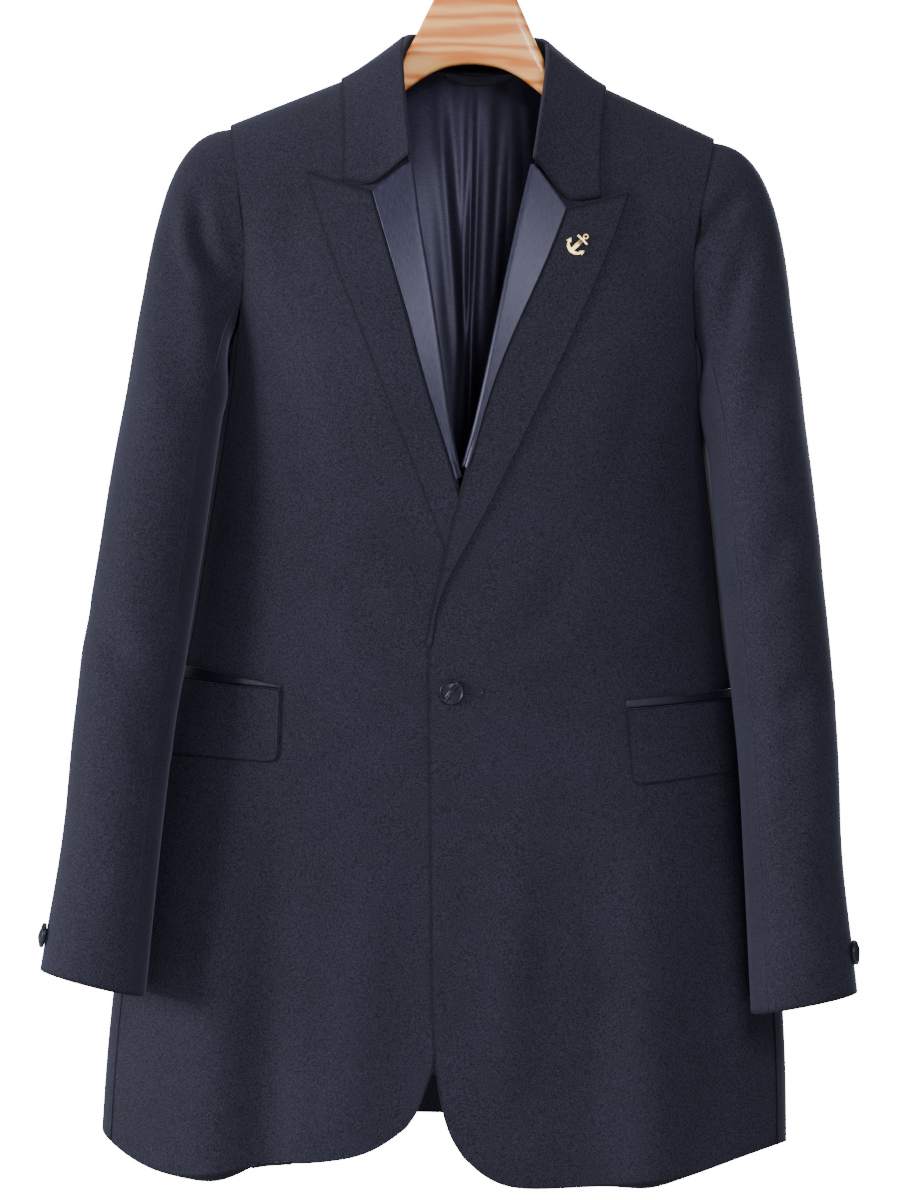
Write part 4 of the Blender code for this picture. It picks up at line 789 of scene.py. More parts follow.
# Sleeves
sleeveCut = {
    "rings": rows(
        "z middle halfX y halfY",
        (-402, 229.5, 39.5, -35.5, 56.0), (-463, 237.4, 41.0, -46.0, 53.0),
        (-514, 242.6, 41.0, -53.0, 49.0), (-554, 248.0, 41.5, -56.0, 47.5),
        (-614, 255.0, 41.0, -60.0, 46.0), (-665, 261.0, 40.0, -64.0, 45.0),
        (-715, 264.0, 39.0, -66.0, 44.0), (-765, 268.0, 39.5, -68.0, 42.5),
        (-815, 273.6, 41.0, -69.0, 41.0), (-857, 278.0, 42.0, -69.5, 40.0),
    ),
    "elbowSeam": rows("z turn", (-176, -60), (-402, -46), (-614, -30), (-765, -18), (-857, -12)),
    "innerSeam": rows("z turn", (-176, 128), (-857, 132)),
    "dents": rows(
        "side turn z width height depth",
        (-1, 52, -262, 16, 22, -4.0), (-1, 80, -232, 14, 26, -4.0), (-1, 70, -620, 18, 26, -3.0),
        (1, 75, -240, 15, 26, -4.0), (1, 100, -330, 16, 34, -4.0), (1, 85, -660, 16, 22, -3.5),
    ),
    "ringTop": -402,    # the first level where the sleeve is a free tube
    "cuff": -857,
    "cuffSlope": 0.225,
    "steps": (0, 0.07, 0.16, 0.27, 0.4, 0.55, 0.7, 0.85, 1, 1.13, 1.25, 1.36, 1.47, 1.58, 1.69, 1.8, 1.9, 2),
    "tuck": 2.4,    # how far the head lies in under the edge of the armhole
    "tuckDown": 0.5,
}


def armholeLoop(side):
    line = []
    for row in bodyCut["armhole"]:
        line.append((side * row["x"], -row["front"], row["z"]))
    for row in bodyCut["armhole"][-2::-1]:
        line.append((side * row["x"], row["back"], row["z"]))
    line = np.array(line, float)
    return line, runOf(line)


def armholeAt(side, turn):
    line, length = armholeLoop(side)
    under = length[len(bodyCut["armhole"]) - 1]
    turn = turn % 360
    if turn <= 180:
        wanted = under * turn / 180
    else:
        wanted = under + (length[-1] - under) * (turn - 180) / 180
    return pointAt(line, length, wanted)


def ringAt(side, turn, z):
    get = {key: readAt(sleeveCut["rings"], "z", key, z) for key in ("middle", "halfX", "y", "halfY")}
    a = math.radians(turn)
    c, s = math.cos(a), math.sin(a)
    x = get["middle"] + get["halfX"] * math.copysign(abs(c) ** 0.92, c)
    y = get["y"] - get["halfY"] * math.copysign(abs(s) ** 0.92, s)
    level = z + sleeveCut["cuffSlope"] * (x - get["middle"]) * smooth(700, 857, -z)
    return np.array([side * x, y, level])


def sleeveLevel(v):
    top, middle, low = bodyCut["shoulderZ"], sleeveCut["ringTop"], sleeveCut["cuff"]
    return top + (middle - top) * v if v < 1 else middle + (low - middle) * (v - 1)


def sleeveMiddle(side, z):
    return side * readAt(sleeveCut["rings"], "z", "middle", z), readAt(sleeveCut["rings"], "z", "y", z)


def sleevePoint(side, turn, v):
    if v >= 1:
        point = ringAt(side, turn, sleeveLevel(v))
    else:
        start, end = armholeAt(side, turn), ringAt(side, turn, sleeveCut["ringTop"])
        under = 0.5 - 0.5 * math.cos(math.radians(turn))
        leave = Vector((side * (1 - 0.57 * under), -0.16 * under, -0.03 - 0.9 * under)).normalized()
        arrive = Vector((side * 0.21, -0.2, -1)).normalized()
        reach = np.linalg.norm(end - start)
        start = start + np.array(leave) * 0.45 + np.array([side * 1.3 * smooth(0.7, 0.95, under), 0, 0])
        blend = (2 * v**3 - 3 * v**2 + 1) * start + (3 * v**2 - 2 * v**3) * end
        blend = blend + (v**3 - 2 * v**2 + v) * reach * (0.85 - 0.3 * under) * np.array(leave)
        point = blend + (v**3 - v**2) * reach * np.array(arrive)
    outward = point[:2] - np.array(sleeveMiddle(side, point[2]))
    outward = outward / max(np.linalg.norm(outward), 1)
    for row in sleeveCut["dents"]:
        if row["side"] == side:
            a = ((turn - row["turn"] + 180) % 360 - 180) / row["width"]
            b = (point[2] - row["z"]) / row["height"]
            amount = row["depth"] * math.exp(-a * a - b * b)
            point = point + np.array([outward[0], outward[1], 0]) * amount
    return point


def sleeveGrid(side, columns, upper):
    grid = []
    for v in sleeveCut["steps"]:
        z = sleeveLevel(v)
        back = readAt(sleeveCut["elbowSeam"], "z", "turn", z)
        front = readAt(sleeveCut["innerSeam"], "z", "turn", z)
        ends = (back, front) if upper else (front, back + 360)
        line = [sleevePoint(side, turn, v) for turn in np.linspace(ends[0], ends[1], 70)]
        grid.append(resample(line, columns, halfGap, halfGap))
    return np.array(grid)


def fromSleeve(side):
    def away(points):
        middles = np.array([sleeveMiddle(side, z) if z < -380 else (side * 200, 0) for z in points[:, 2]])
        up = np.where(points[:, 2] < -380, 0, points[:, 2] + 290)
        return np.column_stack([points[:, 0] - middles[:, 0], points[:, 1] - middles[:, 1], up])

    return away


# The creases of the sleeves that show, and similar ones at the elbows behind
sleeveCreases = {
    -1: [
        crease(7, -4.2, (-217, -228), (-211, -275), (-199, -297), (-172, -308)),
        crease(8, 2.4, (-228, -232), (-222, -280), (-208, -316)),
        crease(9, 2.4, (-217, -296), (-204, -350), (-194, -408)),
        crease(13, -3.0, (-240, -300), (-232, -360), (-214, -420)),
        crease(13, -2.8, (-286, -556), (-264, -600), (-230, -636)),
        crease(7, -1.7, (-252, -650), (-240, -676), (-230, -690)),
        crease(14, 1.2, (-262, -700), (-258, -770), (-266, -840)),
    ],
    1: [
        crease(7, -4.0, (172, -264), (193, -246), (216, -220)),
        crease(8, -3.2, (222, -258), (208, -304), (200, -340), (198, -368)),
        crease(8, 2.0, (206, -262), (196, -298), (190, -334)),
        crease(8, 2.2, (200, -348), (186, -382), (196, -424), rim=0),
        crease(13, -3.2, (246, -296), (236, -370), (212, -446)),
        crease(12, -2.8, (264, -466), (240, -520), (206, -550)),
        crease(10, -2.8, (286, -592), (256, -626), (226, -638)),
        crease(8, -1.6, (272, -640), (254, -660), (236, -664)),
        crease(14, 1.2, (276, -700), (270, -770), (278, -840)),
    ],
}
for side, word in words.items():
    for part, columns, upper in (("top", 14, True), ("under", 10, False)):
        grid = np.array(sleeveGrid(side, columns, upper), float)
        run = grid[0] - grid[1]
        grid[0] += run / np.linalg.norm(run, axis=1)[:, None] * sleeveCut["tuck"]
        grid[0, :, 2] -= sleeveCut["tuckDown"]
        sides = (1, 0, 1, 1) if upper else (0, 1, 1, 1)
        made = openSheet(part + "Sleeve" + word.capitalize(), grid, fromSleeve(side), levels=3, sides=sides)
        creased(made, sleeveCreases[side])
        if not upper:
            creased(made, [dict(row, front=False, depth=row["depth"] * 0.8) for row in sleeveCreases[side]])
        panels[part, side] = made
print("sleeves:", 4)

# Lapels, laid on the fronts
lapelCut = {
    "seam": {
        1: rows("z x", (-241, 76), (-284, 61), (-324, 44), (-359, 30), (-408, 14), (-445, 4.5)),
        -1: rows("z x", (-232, 78), (-292, 59), (-333, 46), (-373, 34.5), (-403, 24.5), (-456, 6)),
    },
    "edge": {
        1: rows(
            "z x",
            (-225, 125), (-265, 113), (-301, 99), (-353, 78), (-387, 62.5), (-421, 47), (-483, 18),
            (-524, -4), (-559, -18.6), (-588, -22.5),
        ),
        -1: rows(
            "z x",
            (-216, 130), (-240, 122), (-286, 106), (-342, 82), (-384, 65), (-435, 43), (-471, 28),
            (-505, 14.5), (-548, -3), (-588, -14),
        ),
    },
    "notch": {1: (76, -241), -1: (78, -232)},
    "gorgeTop": -206.6,
    "satinEnd": {1: (-446, -448), -1: (-454, -457)},
    "satinRows": 10,
    "woolRows": 7,
    "wrapArc": (165, 130, 90, 50, 15),
    "wrapHem": 8,
    "sink": (2.4, 1.3, 0.5),    # how far the last rows lie back into the front
}


def satinGrid(side, edge, surface):
    seam = lapelCut["seam"][side]
    lowIn, lowOut = lapelCut["satinEnd"][side]
    grid = []
    for t in np.linspace(0, 1, lapelCut["satinRows"]):
        zIn = lapelCut["gorgeTop"] + (lowIn - lapelCut["gorgeTop"]) * t
        zOut = lapelCut["notch"][side][1] + (lowOut - lapelCut["notch"][side][1]) * t
        xIn, xOut = edgeX(edge, zIn), readAt(seam, "z", "x", zOut) - 3 * cloth["seamGap"]
        start = onFront(surface, side * (xIn + 1.0), zIn, 0)
        beyond = onFront(surface, side * (xIn + 9.0), zIn, 0)
        along = unit(beyond - start)
        out = unit(np.array([along[1], -along[0], 0.0]) * side)
        if out[1] > 0:
            out = -out
        end = start - along * 1.0
        hem = max(lapelCut["wrapHem"] * (1 - 0.6 * t), 3)
        lift = cloth["layerGap"] + 0.2 + cloth["thick"]
        behind = out * (cloth["thick"] + lift)
        line = [end + along * hem - behind, end + along * 1.2 - behind]
        for turn in lapelCut["wrapArc"]:
            a = math.radians(turn)
            radius = cloth["thick"] / 2 + lift
            line.append(end - out * cloth["thick"] / 2 + radius * (math.cos(a) * out - math.sin(a) * along))
        width = max(xOut - xIn, 1.2)
        for share in (0.12, 0.34, 0.56, 0.78, 1.0):
            x = xIn + width * share
            z = zIn + (zOut - zIn) * share
            line.append(onFront(surface, side * x, z, lift))
        grid.append(line)
    return np.array(grid)


def woolGrid(side, edge, surface):
    seam, outer = lapelCut["seam"][side], lapelCut["edge"][side]
    end = outer[-1]["z"]
    satinLow = lapelCut["satinEnd"][side][1]
    levels = list(np.linspace(lapelCut["notch"][side][1], satinLow, lapelCut["satinRows"]))
    levels += list(np.linspace(satinLow, end, lapelCut["woolRows"] + 1)[1:])
    grid = []
    for zIn in levels:
        t = (zIn - levels[0]) / (levels[-1] - levels[0])
        zOut = outer[0]["z"] + (end - outer[0]["z"]) * t
        shared = smooth(452, 476, -zIn)
        xIn = readAt(seam, "z", "x", zIn) * (1 - shared) + (edgeX(edge, zIn) + 1.4) * shared
        xIn = max(xIn, edgeX(edge, zIn) + 3.0 * (1 - shared))
        xOut = max(readAt(outer, "z", "x", zOut), xIn + 2.6)
        lift = cloth["layerGap"] + 0.1 + cloth["thick"] + 0.2 * shared
        line = []
        for share in (0, 0.17, 0.34, 0.5, 0.67, 0.84, 1.0):
            x = xIn + (xOut - xIn) * share
            z = zIn + (zOut - zIn) * share
            line.append(onFront(surface, side * x, z, lift))
        grid.append(line)
    return np.array(grid)


def wrapFacing(points):
    # only the part in front of the roll line tells which way a wrapped piece faces
    facing = np.zeros(points.shape)
    facing[:, 1] = np.where(np.abs(points[:, 0]) > np.abs(points[:, 0]).min() + 12, -1, 0)
    return facing


for side, word in words.items():
    surface = surfaceOf([panels["front", side]])
    edge = bodyCut["edge"][side]
    grid = satinGrid(side, edge, surface)
    panels["satin", side] = openSheet("lapelSatin" + word.capitalize(), grid, wrapFacing, roll=0.7)
    grid = woolGrid(side, edge, surface)
    for back, row in enumerate(lapelCut["sink"]):
        grid[-1 - back, :, 1] += row
    panels["wool", side] = openSheet("lapelWool" + word.capitalize(), grid, forward, roll=1.0)
print("lapels:", 4)

# Collar: neck side, fold and fall in one sheet
collarCut = {
    "rows": rows(
        "foldX foldY foldZ neckX neckY neckZ edgeX edgeY edgeZ",
        (48.2, -71, -202.5, 48.5, -57.0, -201.5, 104.8, -74, -229.0),
        (49.6, -65, -189.0, 49.8, -51.0, -189.0, 104.3, -68, -206.0),
        (52.0, -55, -169.0, 53.0, -44.5, -174.0, 104.3, -58, -181.0),
        (54.4, -42.5, -148.0, 55.8, -34.5, -157.0, 104.3, -38, -161.0),
        (56.5, -28, -127.0, 59.2, -22.5, -141.0, 104.8, -22, -147.5),
        (57.3, -14, -111.0, 61.8, -11.5, -130.0, 105.0, -8, -141.5),
        (56.5, 4, -101.0, 63.2, 3.0, -122.0, 103.0, 8, -140.0),
        (52.0, 24, -96.5, 59.0, 24.5, -119.5, 97.0, 28, -139.5),
        (43.0, 42, -93.5, 48.5, 41.5, -118.5, 82.0, 48, -137.5),
        (30.0, 55, -91.5, 33.0, 53.0, -117.5, 58.0, 66, -135.5),
        (15.0, 61.5, -91.0, 16.5, 59.5, -117.0, 28.0, 74, -134.0),
        (0.0, 64.0, -91.0, 0.0, 61.0, -117.0, 0.0, 77, -133.5),
    ),
    "fall": (0.12, 0.34, 0.56, 0.78, 1.0),
    "foldRadius": 2.2,
    "neckClear": 1.4,
}


def collarLine(side, row, endShare, surface):
    fold = np.array([side * row["foldX"], row["foldY"], row["foldZ"]])
    neck = np.array([side * row["neckX"], row["neckY"], row["neckZ"]])
    inward = np.array([-neck[0], 12 - neck[1], 0.0])
    neck = neck + unit(inward) * collarCut["neckClear"]
    edge = np.array([side * row["edgeX"], row["edgeY"], row["edgeZ"]])
    lift = cloth["collarGap"] + cloth["thick"]
    edge = pushedOut(surface, edge, lift, exact=True)
    down = unit(unit(neck - fold) + unit(edge - fold))
    across = unit((neck - edge) - down * np.dot(neck - edge, down))
    radius = collarCut["foldRadius"]
    hub = fold + down * radius
    start = hub - across * radius
    line = [neck, neck + (hub + across * radius - neck) * 0.5, hub + across * radius]
    line += [hub + (across - down) * radius * 0.72, hub + (-across - down) * radius * 0.72, start]
    for share in collarCut["fall"]:
        point = start + (edge - start) * share
        if endShare > 0:
            notchX, notchZ = lapelCut["notch"][side]
            gorge = np.array([side * notchX, -78.0, notchZ + 4.2])
            bend = min(share / 0.56, 1) if share <= 0.56 else 1 - (share - 0.56) / 0.44
            straight = start + (edge - start) * 0.56
            gorge[1] = straight[1]
            point = point + (gorge - straight) * bend * endShare
        line.append(pushedOut(surface, point, lift, exact=endShare > 0.9 and share > 0.3))
    return line


def between(first, second, share):
    return {key: first[key] + (second[key] - first[key]) * share for key in first}


def collarGrid(surface):
    halfRows = []
    for k, row in enumerate(collarCut["rows"]):
        halfRows.append(row)
        if k + 1 < len(collarCut["rows"]) and 3 <= k <= 8:
            halfRows.append(between(row, collarCut["rows"][k + 1], 0.5))
    grid = []
    for side in (1, -1):
        part = []
        for k, row in enumerate(halfRows):
            row = dict(row)
            if side > 0 and k == 0:
                row["edgeZ"] += 1.0
            if side < 0 and k == 0:
                row["edgeZ"] += 10.0
            if side < 0 and k == 1:
                row["edgeZ"] += 4
            endShare = (1.0, 0.45, 0.12)[k] if k < 3 else 0.0
            part.append(collarLine(side, row, endShare, surface))
        grid += part if side > 0 else part[-2::-1]
    return np.array(grid)


def collarFacing(points):
    facing = points * (1, 1, 0) + (0, 0, 30)
    outer = (np.abs(points[:, 0]) > 70) | (points[:, 1] > 66)
    return facing * outer[:, None]


shoulders = surfaceOf([panels[part, side] for part in ("front", "back") for side in (1, -1)])
openSheet("collarPiece", collarGrid(shoulders), collarFacing, roll=1.0)
print("collar")

# Pocket flaps with the satin welts above them
pocketCut = {
    "rows": rows(
        "side x top topSlope slant low lowSlope weltIn weltOut",
        (-1, 137.3, -623.5, 0.057, 1.1, -681.4, 0.045, 2.0, 9.5),
        (1, 132.3, -631.5, 0.100, 7.0, -691.4, 0.130, 6.0, 6.8),
    ),
    "width": 118,
    "corner": 7,
    "flapShares": (0, 0.06, 0.3, 0.6, 0.92, 1.0),
    "flapTurns": (0, 0.03, 0.1, 0.2, 0.3, 0.4, 0.5, 0.6, 0.7, 0.8, 0.9, 0.97, 1.0),
}


def skirtLine(side, z, xFrom, length):
    edge, hem = bodyCut["edge"][side], bodyCut["hem"][side]
    line = [p for p in lowerFrontRow(side, z, edge, hem, 0) if abs(p[0]) > xFrom]
    start = frontPoint(side, xFrom, z)
    line = np.array([start] + line + sideRow(side, z, hem, 0)[1:])
    return pointAt(line, runOf(line), length)


def flapPoint(row, t, share):
    corner = pocketCut["corner"] * (1 - math.sqrt(1 - (1 - min(min(t, 1 - t) / 0.06, 1)) ** 2))
    along = pocketCut["width"] * t
    top = row["top"] + row["topSlope"] * along
    low = row["low"] + row["lowSlope"] * min(along, 90) + corner * 0.8
    return skirtLine(row["side"], top + (low - top) * share, row["x"] + row["slant"] * share * (1 - t), along)


def weltPoint(row, t, share):
    along = pocketCut["width"] * t - 1.5 * (1 - t)
    top = row["top"] + row["topSlope"] * along + 0.9
    tall = row["weltIn"] + (row["weltOut"] - row["weltIn"]) * min(t / 0.65, 1)
    return skirtLine(row["side"], top + tall * (1 - share), row["x"], max(along, 0))


for row in pocketCut["rows"]:
    word = words[row["side"]]
    skirt = surfaceOf([panels["front", row["side"]], panels["side", row["side"]]])
    lift = cloth["layerGap"] + 0.2 + cloth["thick"]
    grid = [[pushedOut(skirt, flapPoint(row, t, share), lift, exact=True) for t in pocketCut["flapTurns"]]
            for share in pocketCut["flapShares"]]
    openSheet("pocketFlap" + word.capitalize(), grid, fromMiddle, levels=3, roll=1.0)
    grid = [[pushedOut(skirt, weltPoint(row, t, share), lift, exact=True) for t in pocketCut["flapTurns"]]
            for share in (0, 0.5, 1.0)]
    openSheet("pocketWelt" + word.capitalize(), grid, fromMiddle)
print("pockets:", len(pocketCut["rows"]))

# Back lining with its centre pleat and soft folds
liningCut = {
    "upperRows": (1, 2, 3, 4, 5, 6, 7, 8),
    "levels": (-345, -400, -480, -570, -660, -760, -850, -935),
    "folds": rows(
        "xTop xLow zLow width depth",
        (2.5, 2.5, -940, 6.0, 5.0), (-21, 0, -345, 7.0, 3.5), (30, 25, -420, 8.0, 4.5),
        (-40, -33, -420, 9.0, 3.5), (14, 10, -700, 8.0, 2.0), (-70, -84, -900, 16.0, 6.0),
        (66, 80, -900, 16.0, 6.0),
    ),
    "centre": 54,
    "gap": 0.6,
    "thick": 1.0,
    "wall": 0.8,
}


def gridNormals(grid):
    across = np.gradient(grid, axis=1)
    down = np.gradient(grid, axis=0)
    normals = np.cross(across, down)
    return normals / np.linalg.norm(normals, axis=2, keepdims=True)


def liningFold(x, z):
    total = 0.0
    for row in liningCut["folds"]:
        t = min(max((z + 120) / (row["zLow"] + 120), 0), 1)
        middle = row["xTop"] + (row["xLow"] - row["xTop"]) * t
        fade = 1 - smooth(0.9, 1.15, (z + 120) / (row["zLow"] + 120))
        total += row["depth"] * fade * math.exp(-(((x - middle) / row["width"]) ** 2))
    return total * smooth(116, 170, -z) + total * 0.25 * (1 - smooth(116, 170, -z))


def liningGrid():
    innerXs = np.linspace(-liningCut["centre"], liningCut["centre"], 19)
    grid = []
    for k in range(len(liningCut["upperRows"]) + len(liningCut["levels"])):
        upper = k < len(liningCut["upperRows"])
        row = bodyCut["upperBack"][liningCut["upperRows"][k]] if upper else None
        z = None if upper else liningCut["levels"][k - len(liningCut["upperRows"])]
        reach = readAt(bodyCut["armhole"], "z", "x", row["zOut"]) - 9 if upper else body("half", z) * 0.88
        outer = [liningCut["centre"] + (reach - liningCut["centre"]) * t for t in (0.14, 0.3, 0.5, 0.75, 1.0)]
        xs = [-x for x in outer[::-1]] + list(innerXs) + outer
        line = []
        for x in xs:
            side = 1 if x >= 0 else -1
            if upper:
                lower = 34 * smooth(50, 90, abs(x)) * (1 - smooth(20, 130, row["dropIn"]))
                line.append(upperBackPoint(side, row, abs(x), lower))
            else:
                line.append(backPoint(side, abs(x), z))
        grid.append(line)
    grid = np.array(grid)
    normals = gridNormals(grid)
    if normals[5, 15, 1] < 0:
        normals = -normals
    shift = np.array([[liningFold(p[0], p[2]) for p in line] for line in grid])
    away = np.array([[2.4 * smooth(30, 110, abs(p[0])) for p in line] for line in grid])
    return grid - normals * (cloth["thick"] + liningCut["gap"] + liningCut["thick"] + shift + away)[..., None]


# Sharp pleats that run down from the neck: negative is a trough, positive a ridge
liningCreases = [
    crease(4.0, -1.3, (-28, -136), (-23, -186), (-11, -292), (-4, -352), (0, -420)),
    crease(4.2, 1.1, (-20, -136), (-14, -186), (-4, -292), (1, -355), (3, -430)),
    crease(2.4, -1.9, (0, -132), (0.6, -190), (0.8, -270), (0.5, -335), (-1, -430)),
    crease(4.6, -1.8, (29, -136), (31, -190), (31, -243), (27, -320)),
    crease(4.6, 1.2, (20, -132), (21, -180), (20, -250), (16, -340)),
    crease(4.2, 1.2, (38, -140), (42, -180), (44, -214), (46, -250)),
    crease(6.0, -1.2, (-42, -140), (-38, -200), (-30, -290), (-22, -370)),
    crease(11.0, 2.0, (-60, -180), (-66, -320), (-74, -520), (-80, -760)),
    crease(12.0, 1.8, (58, -200), (68, -360), (78, -560), (86, -800)),
]
lining = openSheet("liningBack", liningGrid(), forward, levels=3, roll=0)
creased(lining, liningCreases)
print("lining")

# Satin loop below the back of the neck
loopCut = {
    "rows": rows(
        "x z away",
        (-23, -124.5, 0.4), (-17, -126.0, 0.8), (-8, -128.5, 1.8), (3, -129.5, 2.2), (14, -128.5, 1.8),
        (24, -126.0, 0.8), (31, -124.5, 0.4),
    ),
    "tall": 7,
}
liningSurface = surfaceOf([lining])
grid = []
for share in (0.5, 0.0, -0.5):
    line = []
    for row in loopCut["rows"]:
        on = lifted(liningSurface, (row["x"], 40, row["z"] + loopCut["tall"] * share), 0)
        line.append(on - np.array([0, row["away"] + 1.3, 0]))
    grid.append(line)
openSheet("hangerLoop", grid, forward, roll=0.4)
print("loop")

# Covered buttons: a turned rim, a dip inside it and a fold of satin across
buttonCut = {
    "sides": 64,
    "profile": rows(
        "radius height",
        (9.3, 0.1), (9.75, 0.7), (9.85, 1.5), (9.75, 2.5), (9.4, 3.3), (8.9, 3.7), (8.4, 3.55), (7.8, 3.0),
        (7.1, 2.8), (6.1, 3.1), (4.8, 3.5), (3.4, 3.8), (1.8, 4.0), (0.6, 4.05),
    ),
    "ridgeAngle": 54,
    "ridgeLift": 1.7,
    "ridgeWidth": 1.15,
    "gathers": 26,
    "front": {"x": -4.0, "z": -621.7},
    "cuffs": rows("side turn z", (1, 13, -824), (-1, 8, -829)),
    "cuffLean": 32,
    "seat": 0.5,
}


def coveredButton(name, centre, facing, node):
    facing = Vector(facing).normalized()
    right = facing.cross(Vector((0, 0, 1))).normalized() * -1
    up = right.cross(facing) * -1
    if up.z < 0:
        up = -up
    ridge = math.radians(buttonCut["ridgeAngle"])
    rings = []
    for row in buttonCut["profile"]:
        ring = []
        for k in range(buttonCut["sides"]):
            turn = 2 * math.pi * k / buttonCut["sides"]
            low = 1 - smooth(0.6, 2.4, row["height"])
            reach = row["radius"] * (1 - 0.012 * low * (1 + math.cos(buttonCut["gathers"] * turn)))
            across, above = reach * math.cos(turn), reach * math.sin(turn)
            off = -across * math.sin(ridge) + above * math.cos(ridge)
            inside = 1 - smooth(7.6, 9.0, row["radius"])
            fold = math.exp(-((off / buttonCut["ridgeWidth"]) ** 2)) * buttonCut["ridgeLift"]
            sunk = 0.9 * smooth(0.2, 1.6, off) * (1 - smooth(3.0, 7.5, off))
            lift = row["height"] + (fold - sunk) * inside
            ring.append(Vector(centre) + right * across + up * above + facing * lift)
        rings.append(ring)
    finished(skinThrough(name, rings, 1), "satin", node, look="button")


leftFront = surfaceOf([panels["front", 1]])
spot = buttonCut["front"]
seat = onFront(leftFront, spot["x"], spot["z"], buttonCut["seat"])
facing = seat - onFront(leftFront, spot["x"], spot["z"], 0)
coveredButton("frontButton", seat, facing, "front_button")
for row in buttonCut["cuffs"]:
    word = words[row["side"]]
    sleeve = surfaceOf([panels["top", row["side"]], panels["under", row["side"]]])
    onRing = ringAt(row["side"], row["turn"] + 3, row["z"])
    lean = math.radians(buttonCut["cuffLean"])
    toward = Vector((row["side"] * math.cos(lean), -math.sin(lean), 0))
    seat = lifted(sleeve, onRing, buttonCut["seat"], toward)
    facing = seat - lifted(sleeve, onRing, 0, toward)
    coveredButton("cuffButton" + word.capitalize(), seat, facing, "cuff_button_" + word)

# The buttonhole beside the front button: close stitches round a slit, and a bar at its end
holeCut = {"from": (-2.0, -619.4), "to": (19.4, -621.6), "half": 0.75, "bar": 1.5}
holeCut |= {"thread": 0.5, "stitches": 84, "barThread": 0.75}


def threadRings(path, radius, wave):
    rings = []
    for i, at in enumerate(path):
        ahead = (Vector(path[(i + 1) % len(path)]) - Vector(path[i - 1])).normalized()
        if i in (0, len(path) - 1) and (Vector(path[0]) - Vector(path[-1])).length > 2:
            ahead = (Vector(path[-1]) - Vector(path[0])).normalized()
        out = Vector((0, -1, 0))
        beside = ahead.cross(out).normalized()
        wide = radius * (1 + wave * math.cos(math.pi * i))
        ring = []
        for k in range(8):
            turn = 2 * math.pi * k / 8
            ring.append(Vector(at) + (beside * math.cos(turn) + out * math.sin(turn)) * wide)
        rings.append(ring)
    return rings


start, end = np.array(holeCut["from"]), np.array(holeCut["to"])
along = unit(end - start)
beside = np.array([-along[1], along[0]])
outline = []
for k in range(holeCut["stitches"]):
    share = k / holeCut["stitches"]
    half = holeCut["half"] * (1 + 0.5 * smooth(0.86, 1.0, 1 - abs(1 - 2 * share)))
    sign = 1 if share < 0.5 else -1
    t = 1 - abs(1 - 2 * share)
    x, z = start + (end - start) * t + beside * half * sign
    outline.append(onFront(leftFront, x, z, holeCut["thread"] * 0.6))
rings = threadRings(outline, holeCut["thread"], 0.22)
finished(skinThrough("buttonholeThread", rings, 1, closed=True), "wool", look="button")
bar = []
for t in np.linspace(-1, 1, 7):
    x, z = end + beside * holeCut["bar"] * t + along * 0.3
    bar.append(onFront(leftFront, x, z, holeCut["barThread"] * math.sqrt(max(1.1 - t * t, 0))))
finished(skinThrough("buttonholeBar", threadRings(bar, holeCut["barThread"], 0.1), 1), "satin")
print("buttons and buttonhole")

# Wooden hanger, fitted to the inside of the shoulders
hanger = {
    "rows": rows(
        "x top low y depth power",
        (0.0, -64.9, -121.6, 0.0, 7.5, 4.0), (20.0, -64.9, -124.2, 0.0, 7.5, 4.0),
        (29.5, -64.9, -128.2, 0.0, 7.5, 4.0), (33.0, -69.4, -130.0, 0.0, 7.5, 4.0),
        (35.6, -75.5, -131.3, 0.0, 7.5, 4.0), (41.0, -86.7, -134.8, 0.0, 7.5, 4.0),
        (47.6, -102.0, -139.6, 0.0, 7.5, 3.6), (52.0, -109.5, -143.0, 0.0, 7.5, 3.4),
        (55.6, -117.0, -146.0, 0.0, 7.5, 3.2), (57.5, -124.0, -147.6, 0.0, 7.5, 3.0),
        (59.5, -132.5, -149.3, 0.0, 7.5, 3.0), (72.0, -134.5, -157.0, -0.5, 9.0, 2.8),
        (88.0, -137.5, -164.5, -1.0, 10.5, 2.6), (104.0, -140.0, -171.5, -1.0, 12.0, 2.4),
        (124.0, -148.0, -180.0, -1.0, 14.0, 2.4), (144.0, -157.0, -188.5, -1.0, 16.0, 2.4),
        (164.0, -166.0, -197.0, -1.0, 18.0, 2.4), (178.0, -172.0, -203.5, -1.0, 18.5, 2.4),
        (186.0, -176.0, -205.0, -1.0, 16.5, 2.2), (188.5, -180.0, -201.0, -1.0, 12.0, 2.2),
    ),
    "sides": 24,
    "rest": 0.5,
}


def hangerSection(x, row, inside):
    middle = (row["top"] + row["low"]) / 2
    tall = (row["top"] - row["low"]) / 2
    section = []
    for k in range(hanger["sides"]):
        a = 2 * math.pi * k / hanger["sides"]
        c, s = math.cos(a), math.sin(a)
        y = row["y"] + row["depth"] * math.copysign(abs(c) ** (2 / row["power"]), c)
        z = middle + tall * math.copysign(abs(s) ** (2 / row["power"]), s)
        section.append(Vector((x, y, z)))
    if row["x"] < 80:
        return section
    room = []
    for point in section:
        if point.z > middle:
            hit = inside.ray_cast(Vector((x, point.y, middle)), Vector((0, 0, 1)), 120)[0]
            if hit is not None:
                room.append(hit.z - point.z)
    drop = min(room) - hanger["rest"] * 1.1
    return [p + Vector((0, 0, drop if p.z > middle else 0)) for p in section]


inside = surfaceOf([panels[part, side] for part in ("front", "back") for side in (1, -1)], bodyCut["wall"])
sections = [hangerSection(-row["x"], row, inside) for row in hanger["rows"][:0:-1]]
sections += [hangerSection(row["x"], row, inside) for row in hanger["rows"]]
finished(skinThrough("hangerWood", sections, 2, inset=1.6), "wood", "hanger_wood")

